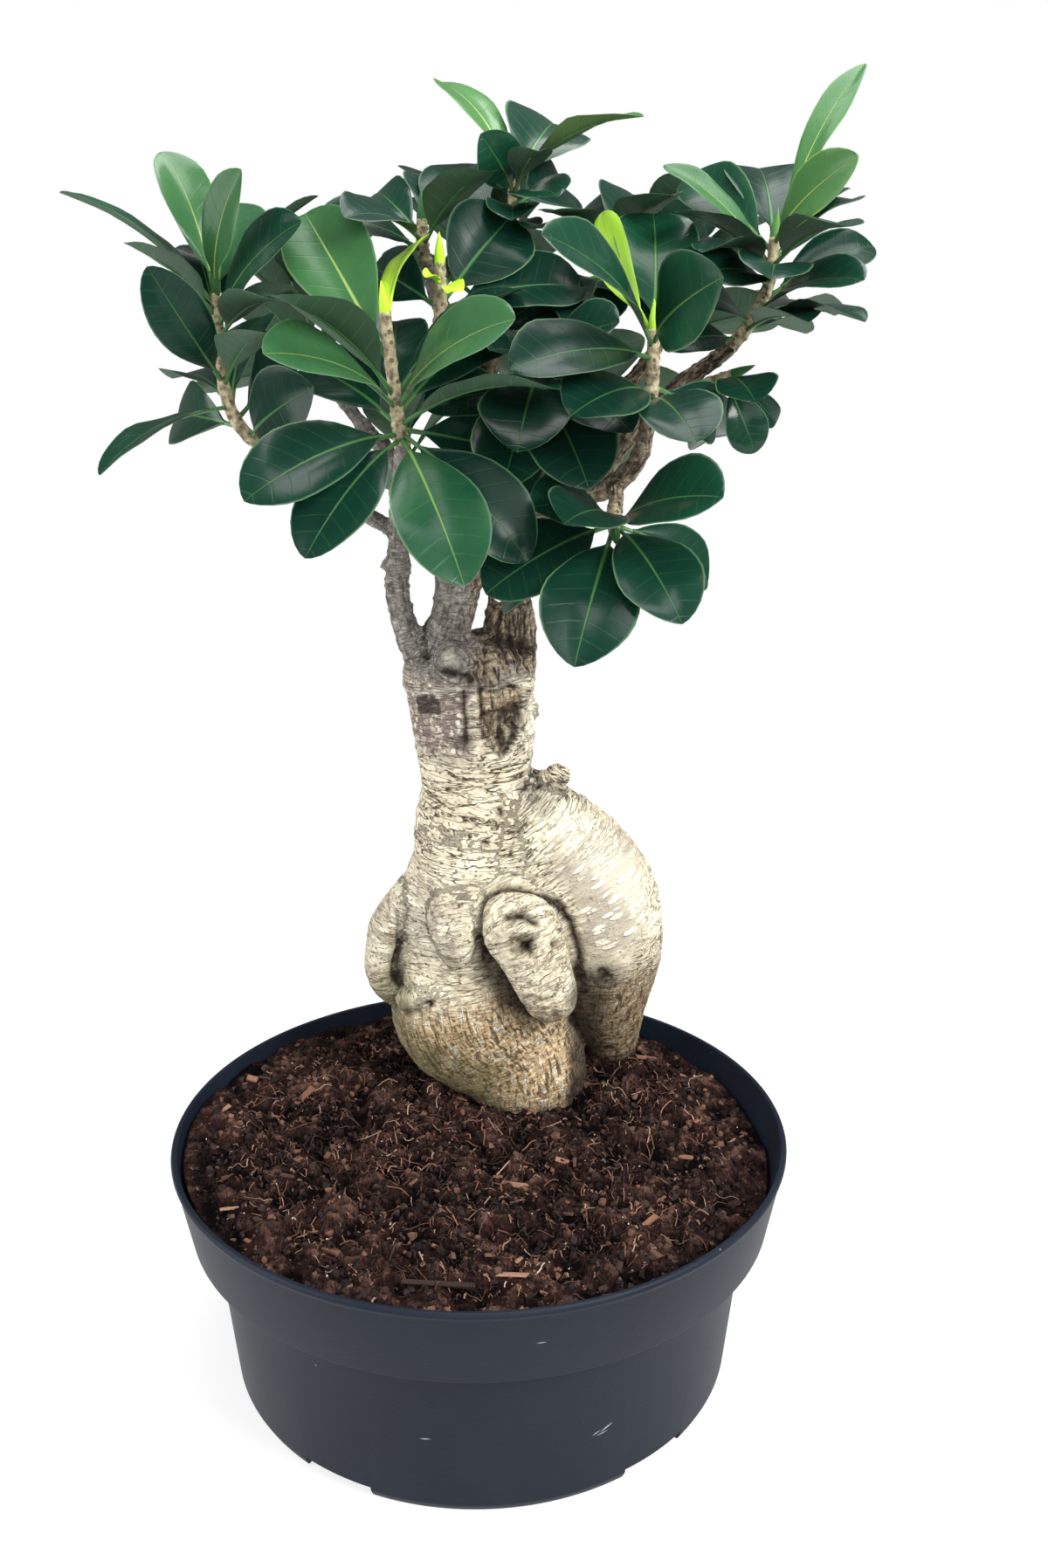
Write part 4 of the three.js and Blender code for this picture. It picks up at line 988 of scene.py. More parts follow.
class Field:
    """Points of the trunk's skin, with a wandering noise that makes the edges of zones ragged."""

    def __init__(self, points: np.ndarray, scale: float) -> None:
        self.points = points
        self.wander = rough(points, scale, 2)

    def zone(self, *edges: tuple[float, ...]) -> np.ndarray:
        """1 inside a soft-edged zone and 0 outside it.

        Args:
            edges: Each an axis, where the zone starts on it, where it is full and how ragged the edge is.

        Returns:
            The product of the edges at each point.
        """
        inside = np.ones(len(self.points))
        for edge in edges:
            axis, start, full, ragged = (*edge, 0.0)[:4]
            moved = math.copysign(ragged, full - start) * self.wander
            inside *= ease(self.points[:, axis] + moved, start, full)
        return inside

    def spot(self, centre: Sequence[float], reach: Any, ragged: float = 0.0, power: int = 4) -> np.ndarray:
        """1 round a centre and 0 past a reach, which is one number or one for each axis."""
        far = np.linalg.norm((self.points - centre) / reach, axis=1) + ragged * self.wander
        return np.exp(-(far**power))


@dataclass
class Trunk:
    """The swollen roots, the grafted trunk and its bare branches, grown as one piece."""

    row: float = 3.0
    sides: int = 32
    voxel: float = 1.3
    smoothing: int = 2
    calm_spots: Sequence[tuple[float, float, float, float]] = (
        (14, 26, 199, 21), (15, 26, 202, 17), (13, 25, 192, 13), (-6, 24, 188, 17), (20, 31, 212, 11),
        (-22, 25, 138, 8),
    )
    calming: int = 16
    levelling: int = 14
    seam: float = 1.0
    end_weight: float = 1.5
    grain_step: float = 2.0
    grain_spacing: float = 41.0
    hoop_scale: tuple[float, float, float] = (0.10, 0.10, 0.32)
    finer_spots: Sequence[tuple[float, float, float, float]] = ((18, 10, 158, 27), (4, 26, 252, 27))
    scar: Outline = ((1.0, 257.0), (16.5, 256.0), (16.0, 243.0), (8.8, 230.5), (1.8, 243.0))
    scab: Outline = ((-22.2, 253.2), (-12.9, 254.4), (-12.6, 247.4), (-21.6, 245.6))
    front: tuple[float, float] = (38.0, 34.0)

    def limbs(self) -> list[Limb]:
        """Every root, stub and branch."""
        return [Limb(stations) for kind in (ROOTS, STUBS, BRANCHES) for stations in kind.values()]

    def joined(self) -> bpy.types.Mesh:
        """The limbs joined into one even skin."""
        shape = bmesh.new()
        for limb in self.limbs():
            rolled(shape, math.ceil(limb.path.length() / self.row), self.sides, limb.skin)
        block = finished(shape, "trunk_block")
        join = block.modifiers.new("join", "REMESH")
        join.mode = "VOXEL"
        join.voxel_size = self.voxel * MM
        return baked(block)

    def grain(self, points: np.ndarray) -> np.ndarray:
        """Each point's place across, in depth and along the limb that it lies on."""
        closest = np.full(len(points), np.inf)
        grain = np.zeros((len(points), 3))
        for index, limb in enumerate(self.limbs()):
            length = limb.path.length()
            steps = math.ceil(length / self.grain_step)
            best = np.full(len(points), np.inf)
            own = np.zeros((len(points), 3))
            for step in range(steps + 1):
                centre, wide, deep, half = limb.section(step / steps)
                offset = points - np.array(centre)
                x, y = offset @ np.array(wide), offset @ np.array(deep)
                z = offset @ np.array(limb.path.heading(step / steps))
                ratio = np.sqrt((x / half.x) ** 2 + (y / half.y) ** 2)
                off = np.abs(ratio - 1) * min(half.x, half.y) + self.end_weight * np.abs(z)
                nearer = off < best
                best[nearer] = off[nearer]
                along = length * step / steps + self.grain_spacing * index
                own[nearer] = np.stack([x[nearer], y[nearer], z[nearer] + along], axis=1)
            nearer = best < closest - self.seam
            closest[nearer] = best[nearer]
            grain[nearer] = own[nearer]
        return grain

    @staticmethod
    def inside(
        points: np.ndarray, outline: Outline, sharpness: float = 3.0, reach: float = 12.0
    ) -> np.ndarray:
        """How far each point is inside a convex outline in x and z, which runs clockwise.

        Args:
            points: The points.
            outline: The outline's corners.
            sharpness: How sharp the corners are.
            reach: The distance past which a side counts no more.

        Returns:
            The distance inwards, in millimetres, negative outside.
        """
        total = np.zeros(len(points))
        for (x0, z0), (x1, z1) in zip(outline, [*outline[1:], outline[0]]):
            length = math.hypot(x1 - x0, z1 - z0)
            side = ((z1 - z0) * (points[:, X] - x0) - (x1 - x0) * (points[:, Z] - z0)) / length
            total += np.exp(-sharpness * np.clip(side, -reach, reach))
        return -np.log(total) / sharpness

    def scar_depth(self, points: np.ndarray) -> np.ndarray:
        """How far each point is inside the hollow scar, whose edge is ragged."""
        return self.inside(points, self.scar) + 1.4 * rough(points, 5.0)

    def scab_cover(self, points: np.ndarray) -> np.ndarray:
        """1 on the square scab and 0 off it."""
        return ease(self.inside(points, self.scab) + 1.2 * rough(points, 3.0), -0.3, 0.5)

    def relief(self, points: np.ndarray, grain: np.ndarray, marks: Sequence[Mark]) -> np.ndarray:
        """How far each point of the skin moves outwards."""
        z = points[:, Z]
        slim = ease(z, 262, 285)
        thick = 1 - slim
        move = 0.7 * rough(points, 16.0, 2) * thick
        move += (0.25 + 0.45 * ease(z, 180, 200) * thick) * rough(grain * self.hoop_scale, 1.0, 2)
        move += (0.25 + 0.30 * slim) * rough(points, 3.5)
        for mark in marks:
            move += mark.relief(points)
        depth = self.scar_depth(points)
        hollow = 1.3 * ease(depth, -0.4, 0.8) + 3.0 * ease(depth, 0.6, 3.4) * ease(z, 247, 242)
        lip = 0.5 * np.exp(-((depth + 1.6) ** 2))
        move += ease(points[:, Y], *self.front) * (lip - hollow + 0.6 * self.scab_cover(points))
        ring = np.abs((grain[:, Z] / 11.0 + 0.1 * np.sin(grain[:, Z] / 5)) % 1.0 - 0.5)
        move += 0.45 * slim * ease(ring, 0.10, 0.02)
        return move

    def skin(self, points: np.ndarray, cavity: np.ndarray, shade: np.ndarray) -> np.ndarray:
        """How brown, tan and dark each point is. The dark is mostly painted shade: the shade of the marks,
        shade in creases and in the scar's hollow, and the hook's painted shadow on the bulb.
        """
        x, _, z = points.T
        field = Field(points, 14.0)
        wander = field.wander
        depth = self.scar_depth(points)
        front = field.zone((Y, *self.front))
        brown = field.zone((Z, 218, 240, 6)) * (0.10 + 0.35 * field.zone((X, 2, -5)))
        brown = np.maximum(brown, field.zone((Z, 254, 264, 4)))
        tan = 0.85 * ease(z + 0.35 * np.abs(x - 10) - 4 * wander, 150, 128) * field.zone((Y, 48, 30))
        tan = np.maximum(tan, 0.9 * field.zone((X, 40, 46), (Z, 150, 130, 8)))
        tan = np.maximum(tan, 0.7 * front * ease(depth, -0.5, 0.8))
        # Painted shade in the deep hollow of the scar and along its edge, with the dark scab and a dark spot
        # at the foot of the crack
        scar = 0.30 * ease(depth, 0.3, 1.4) * field.zone((Z, 247.5, 244, 2)) * (0.7 + 0.8 * wander)
        scar += 0.7 * np.exp(-((depth / 0.6) ** 2)) * (0.7 + 0.6 * wander)
        scar += 0.85 * self.scab_cover(points) + 0.65 * field.spot((-4.6, 24, 236.8), 3.6)
        # The marks' painted shade, and painted shade in creases from how deep each point lies in one
        dark = shade + 1.4 * ease(cavity, 0.15, 1.1) + front * scar
        # The lower bulb is dark brown, with a painted shadow of the hook that is deepest next to it
        dark += (0.42 + 0.5 * field.zone((X, 56, 44))) * field.zone((X, 32, 38, 3), (Z, 156, 134, 5))
        # The roots darken towards the soil, and the top of the stump is a little darker
        dark += 0.6 * field.zone((Z, 97, 86)) + 0.2 * field.zone((Z, 266, 274), (X, 0, 4))
        return np.clip(np.stack([brown, tan, dark], axis=1), 0, 1)

    def spots(self, points: np.ndarray) -> np.ndarray:
        """How purple, green and pale each point is."""
        x, _, z = points.T
        field = Field(points, 9.0)
        front = field.zone((Y, 44, 34))
        purple = front * field.zone((X, 0, -5, 3), (Z, 226, 236), (Z, 262, 256))
        purple = np.maximum(purple, 0.9 * field.spot((20.5, 34, 214.5), (6.5, 9, 5), 0.4))
        algae = ease(z + 0.3 * x - 10 * field.wander, 122, 104) * field.zone((X, 24, 0))
        algae += field.zone((X, -24, -30, 3), (Z, 150, 132, 4))
        algae += 0.8 * field.spot((16, 8, 162), 5, power=2)
        seam = np.exp(-(((z - 258.3 - 0.18 * x + 1.5 * field.wander) / 0.8) ** 2))
        pale = 0.8 * front * seam * field.zone((X, -24, -22), (X, -2, -5))
        pale += 0.7 * field.zone((X, 16, 20, 2), (Z, 228, 234), (Z, 256, 246))
        pale += 0.5 * ease(x + z, 222, 232) * field.zone((Z, 222, 206), (Y, 40, 30))
        pale += 0.35 * field.spot((-9.5, 17, 269.8), 3.6)
        return np.clip(np.stack([purple, algae, pale], axis=1), 0, 1)

    def pattern(self, points: np.ndarray) -> np.ndarray:
        """How wrinkled, dashed and fibrous each point is."""
        x, _, z = points.T
        field = Field(points, 12.0)
        bulb = ease(x + 0.55 * np.maximum(0, z - 165) + 3 * field.wander, 36, 44) * field.zone((Z, 214, 202))
        lined = 0.6 + 0.5 * field.zone((Z, 180, 194, 4))
        on_bulb = 0.18 + 0.60 * field.zone((X, 58, 70, 4)) + 0.75 * field.zone((Z, 150, 134, 6))
        on_bulb += 0.3 * field.zone((Z, 182, 200, 4))
        lined = lined * (1 - bulb) + bulb * on_bulb
        dashed = bulb * field.zone((Z, 146, 160), (Z, 204, 188, 8), (X, 68, 56))
        dashed += 0.75 * field.zone((X, -2, -8, 3), (Z, 148, 158), (Z, 186, 168, 8))
        scar = ease(self.inside(points, self.scar), 0.3, 1.2) * field.zone((Y, *self.front))
        fibrous = scar * (0.45 + 0.4 * field.zone((Z, 247.5, 245)))
        fibrous = np.maximum(fibrous, field.zone((Z, 256, 263, 5), (X, -3, 2, 3)))
        return np.clip(np.stack([lined, dashed, fibrous], axis=1), 0, 1.1)

    def build(self, finish: BarkFinish) -> None:
        """Makes the trunk's skin in place of its node.

        Args:
            finish: The bark's finish.
        """
        shape = bmesh.new()
        shape.from_mesh(self.joined())
        soften(shape, self.smoothing)
        for spot in self.calm_spots:
            soften(shape, self.calming, near(shape, Vector(spot[:3]) * MM, spot[3] * MM))
        for spot in self.finer_spots:
            refine(shape, Vector(spot[:3]) * MM, spot[3] * MM)
        points, normals = self.arrays(shape)
        grain = self.grain(points)
        marks = [mark.laid(points) for mark in MARKS]
        # The marks' painted shade, from how near each point is to their paths
        shade = sum(mark.dark * mark.nearness(mark.distance(points)) for mark in marks if mark.dark)
        points += normals * self.relief(points, grain, marks)[:, None]
        for vert, point in zip(shape.verts, points.tolist()):
            vert.co = Vector(point) * MM
        # How deep each point lies in a crease, for the painted shade there
        cavity = self.cavity(shape, points)
        piece = finished(shape, "trunk_bark")
        store(piece.data, "grain", grain)
        store(piece.data, "skin", self.skin(points, cavity, shade))
        store(piece.data, "spots", self.spots(points))
        store(piece.data, "pattern", self.pattern(points))
        placed(piece, Slot.BARK, [finish.material()], "trunk")

    @staticmethod
    def arrays(shape: bmesh.types.BMesh) -> tuple[np.ndarray, np.ndarray]:
        """The points, in millimetres, and the normals of a mesh."""
        shape.normal_update()
        points = np.array([vert.co for vert in shape.verts]) / MM
        return points, np.array([vert.normal for vert in shape.verts])

    def cavity(self, shape: bmesh.types.BMesh, points: np.ndarray) -> np.ndarray:
        """How deep each point lies in a crease, in millimetres."""
        _, normals = self.arrays(shape)
        smooth = shape.copy()
        soften(smooth, self.levelling)
        level, _ = self.arrays(smooth)
        smooth.free()
        return ((level - points) * normals).sum(axis=1)


def near(shape: bmesh.types.BMesh, centre: Vector, radius: float) -> list[bmesh.types.BMVert]:
    """The vertices of a mesh within a radius of a point."""
    return [vert for vert in shape.verts if (vert.co - centre).length < radius]


def soften(shape: bmesh.types.BMesh, times: int, verts: Sequence[bmesh.types.BMVert] | None = None) -> None:
    """Smooths a mesh, or some of its vertices, a number of times."""
    for _ in range(times):
        bmesh.ops.smooth_vert(
            shape, verts=verts or shape.verts, factor=0.5, use_axis_x=True, use_axis_y=True, use_axis_z=True
        )


def refine(shape: bmesh.types.BMesh, centre: Vector, radius: float) -> None:
    """Halves the edges of a mesh within a radius of a point."""
    inner = set(near(shape, centre, radius))
    edges = [edge for edge in shape.edges if all(vert in inner for vert in edge.verts)]
    bmesh.ops.subdivide_edges(shape, edges=edges, cuts=1, use_grid_fill=True)


def store(mesh: bpy.types.Mesh, name: str, values: np.ndarray) -> None:
    """Writes a vector for each vertex of a mesh as an attribute."""
    attribute = mesh.attributes.new(name, "FLOAT_VECTOR", "POINT")
    attribute.data.foreach_set("vector", values.astype(np.float32).ravel())


# Leafy shoots


@dataclass(frozen=True)
class Leaf:
    """A leaf: its place along the stem, its tip, its width, the way it faces and how young it is."""

    place: float
    tip: Vector
    width: float
    face: Vector
    youth: float = 0.0


class Blade:
    """The form of one leaf from its root on the stem to its tip, folded and bowed."""

    petiole = 0.14
    petiole_half_width = 0.9
    thickness = 0.8
    fold = 0.24
    bow = 0.09
    wave = 0.9
    base_power = 0.95
    tip_power = 0.6
    stalk_reach = 0.7
    stalk_taper = 0.75
    stalk_drop = 0.35

    def __init__(self, root: Vector, tip: Vector, width: float, face: Vector) -> None:
        chord = tip - root
        self.root = root
        self.width = width
        self.length = chord.length
        self.along = chord.normalized()
        self.normal = (face - self.along * face.dot(self.along)).normalized()
        self.across = self.along.cross(self.normal)
        self.phase = 0.7 * width + 0.3 * self.length

    def turned(self, swing: float, lift: float, scale: float) -> Vector:
        """The tip after a small turn, in degrees, and a change of length."""
        chord = self.along * self.length
        chord.rotate(Quaternion(self.normal, math.radians(swing)))
        chord.rotate(Quaternion(self.across, math.radians(lift)))
        return self.root + chord * scale

    def half(self, share: float) -> float:
        """Half the blade's width at a share along it."""
        peak = self.base_power / (self.base_power + self.tip_power)
        highest = peak**self.base_power * (1 - peak) ** self.tip_power
        outline = share**self.base_power * max(1 - share, 0.0) ** self.tip_power / highest
        stalk = self.petiole_half_width * (1 - share) ** 0.5
        return max(stalk, 0.5 * self.width * outline)

    def at(self, t: float, side: float, rise: float) -> Vector:
        """A point at t along the leaf, off its middle line sideways and upwards."""
        bow = 4 * self.bow * self.length * t * (1 - t)
        return self.root + self.along * (self.length * t) + self.normal * (bow + rise) + self.across * side

    def share(self, row: float) -> float:
        """Where along the blade a row lies. Rows are closer near both ends."""
        return 0.5 - 0.5 * math.cos(math.pi * row)

    def skin(self, row: float, around: float) -> Vector:
        """A point of the closed blade. Round it means over the upper side and back below."""
        share = self.share(row)
        side = self.side(around)
        t = self.petiole + (1 - self.petiole) * share
        half = self.half(share)
        fullness = half / (0.5 * self.width)
        ripple = math.sin(7 * t + self.phase) if side < 0 else math.sin(8 * t + 2 * self.phase)
        lobe = math.sin(self.fold) * half * (1.25 * abs(side) - 0.25 * side**2)
        rise = lobe + self.wave * fullness * side**2 * ripple
        rise += 0.35 * fullness * abs(side) * math.sin(17 * t + 3 * side + self.phase)
        skin = 0.5 * self.thickness * math.sqrt(max(1 - side**2, 0.0)) * min(1.0, 8 * (1 - share))
        return self.at(t, math.cos(self.fold) * half * side, rise + (skin if around <= 0.5 else -skin))

    def side(self, around: float) -> float:
        """Where across the blade a column lies, from -1 to 1. Columns are closer near the edges."""
        across = 1 - 4 * around if around <= 0.5 else 4 * around - 3
        return math.sin(0.5 * math.pi * across)

    def stalk(self, along: float, around: float) -> Vector:
        """A point of the stalk, which runs on below the blade as its midrib."""
        radius = self.petiole_half_width * (1 - self.stalk_taper * along)
        drop = self.stalk_drop * min(along / 0.25, 1.0)
        cosine, sine = circle(around)
        return self.at(self.stalk_reach * along, radius * cosine, 0.9 * radius * sine - drop)


@dataclass
class Shoot:
    """A young twig with its own leaves and the ones that fan round it."""

    name: str
    stem: Stations
    leaves: Sequence[tuple[Any, ...]] = ()
    extra: int = 0
    fan: tuple[float, float] = (0.0, 0.0)
    shine: float = 0.0
    fan_start: float = 0.25
    fan_span: float = 0.72
    fan_lift: float = 5.0
    fan_steepening: float = 48.0
    fan_length: float = 51.0
    fan_shortening: float = 9.0
    rows: int = 16
    columns: int = 16
    seat: float = 1.0
    twig_radius: float = 2.4
    twig_end_radius: float = 1.7
    bud_length: float = 9.0
    stalk_youth: float = 0.45
    bud_youth: float = 0.35
    scar_pitch: float = 5.0
    tolerance: float = 0.05
    limb: Limb = field(init=False)
    path: Curve = field(init=False)

    def __post_init__(self) -> None:
        """Lays the twig through the stem's stations."""
        radii = np.linspace(self.twig_radius, self.twig_end_radius, len(self.stem)).tolist()
        self.limb = Limb([(*point, radius) for point, radius in zip(self.stem, radii)])
        self.path = self.limb.path

    def own(self) -> list[Leaf]:
        """The leaves that the table gives."""
        leaves = []
        for place, x, y, z, width, face, *youth in self.leaves:
            leaves.append(Leaf(place, Vector((x, y, z)), width, Vector(face.value), *youth))
        return leaves

    def fanned(self) -> list[Leaf]:
        """The leaves that fan round the stem: higher ones are shorter and steeper."""
        leaves = []
        for index in range(self.extra):
            place = self.fan_start + self.fan_span * (index + 0.5) / self.extra
            cosine, sine = circle((self.fan[0] + index * self.fan[1]) / 360)
            lift = math.radians(self.fan_lift + self.fan_steepening * place)
            length = self.fan_length - self.fan_shortening * place + 3 * math.sin(5 * index)
            stem = self.path.heading(place)
            east = (Vector((1, 0, 0)) - stem * stem.x).normalized()
            out = east * cosine + stem.cross(east) * sine
            tip = self.path.at(place) + out * (length * math.cos(lift)) + stem * (length * math.sin(lift))
            leaves.append(Leaf(place, tip, 0.5 * length, stem))
        return leaves

    def root(self, leaf: Leaf) -> Vector:
        """Where the stalk leaves the stem, on the side that its leaf grows to."""
        middle, stem = self.path.at(leaf.place), self.path.heading(leaf.place)
        out = leaf.tip - middle
        return middle + (out - stem * out.dot(stem)).normalized() * self.seat

    def grown(self, leaf: Leaf, packed: kdtree.KDTree) -> Blade | None:
        """The leaf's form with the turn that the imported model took.

        Args:
            leaf: The leaf as the table or the fan gives it.
            packed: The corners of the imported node, in millimetres.

        Returns:
            The form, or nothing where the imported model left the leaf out.
        """
        aimed = Blade(self.root(leaf), leaf.tip, leaf.width, leaf.face)
        for turn in TURNS:
            tip = aimed.turned(*turn)
            if packed.find(tip)[2] < self.tolerance:
                return Blade(aimed.root, tip, leaf.width * turn[2], leaf.face)
        return None

    def packed(self) -> kdtree.KDTree:
        """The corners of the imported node, in millimetres."""
        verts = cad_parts[self.name].data.vertices
        tree = kdtree.KDTree(len(verts))
        for index, vert in enumerate(verts):
            tree.insert(vert.co / MM, index)
        tree.balance()
        return tree

    def twig(self, along: float, around: float) -> Vector:
        """A point of the twig's bark, knobby at its leaf scars."""
        centre, wide, deep, half = self.limb.section(along)
        ring = abs((along * self.path.length() / self.scar_pitch) % 1.0 - 0.5)
        knob = 0.16 * max(0.0, 1 - ring / 0.2) + 0.05 * math.sin(40 * along + 10 * math.pi * around)
        cosine, sine = circle(around)
        return centre + (wide * cosine + deep * sine) * (half.x * (1 + knob))

    def bud(self, along: float, around: float) -> Vector:
        """A point of the pointed bud at the twig's end."""
        centre, wide, deep, half = self.limb.section(1.0)
        radius = half.x * (1 + 0.25 * math.sin(math.pi * along)) * (1 - along) ** 0.7
        rise = (self.bud_length + 1) * along - 1
        cosine, sine = circle(around)
        return centre + self.path.heading(1.0) * rise + (wide * cosine + deep * sine) * radius

    def build(self, materials: Sequence[bpy.types.Material], chance: random.Random) -> None:
        """Makes the twig, its bud and its leaves in place of their node.

        Args:
            materials: The leaf skin and the twig bark.
            chance: Where the leaves' small differences of tone come from.
        """
        shape = bmesh.new()
        blade_layer = shape.verts.layers.float_vector.new("blade")
        mood_layer = shape.verts.layers.float_vector.new("mood")
        packed = self.packed()
        youngest = max([leaf.youth for leaf in self.own()], default=0.0)

        def green(youth: float, tone: float = 0.5) -> Paint:
            """Paints stalks and buds, which have no veins."""
            def paint(vert: bmesh.types.BMVert, along: float, around: float) -> None:
                """Paints one vertex."""
                vert[blade_layer] = (0.0, 1.0, 0.4)
                vert[mood_layer] = (youth, tone, 0.0)
            return paint

        dropped = 0
        for leaf in [*self.own(), *self.fanned()]:
            blade = self.grown(leaf, packed)
            if blade is None:
                dropped += 1
                continue
            tone = min(1.0, chance.random() + self.shine)

            def paint(vert: bmesh.types.BMVert, row: float, around: float) -> None:
                """Paints the place on the blade and its mood."""
                share, side = blade.share(row), blade.side(around)
                lateral = side * blade.half(share) / (0.5 * blade.width)
                tip = max(0.0, (share - 0.97) / 0.03)
                vert[blade_layer] = (share, lateral, max(abs(side), tip))
                vert[mood_layer] = (leaf.youth, tone, 0.0 if around < 0.5 else 1.0)

            rolled(shape, self.rows, self.columns, blade.skin, paint)
            rolled(shape, 10, 6, blade.stalk, green(max(self.stalk_youth, leaf.youth), tone))
        margin = [edge for edge in shape.edges if all(v[blade_layer].z > 0.99 for v in edge.verts)]
        rolled(shape, 10, 8, self.bud, green(max(self.bud_youth, youngest)))
        leafy = len(shape.faces)
        rolled(shape, 36, 10, self.twig)
        shape.faces.ensure_lookup_table()
        for face in shape.faces[leafy:]:
            face.material_index = 1
        for edge in margin:
            edge.smooth = False
        piece = finished(shape, self.name.replace("shoot", "leaves"))
        log.info("%s leaves left out: %d", self.name, dropped)
        placed(piece, Slot.LEAF, materials, self.name)


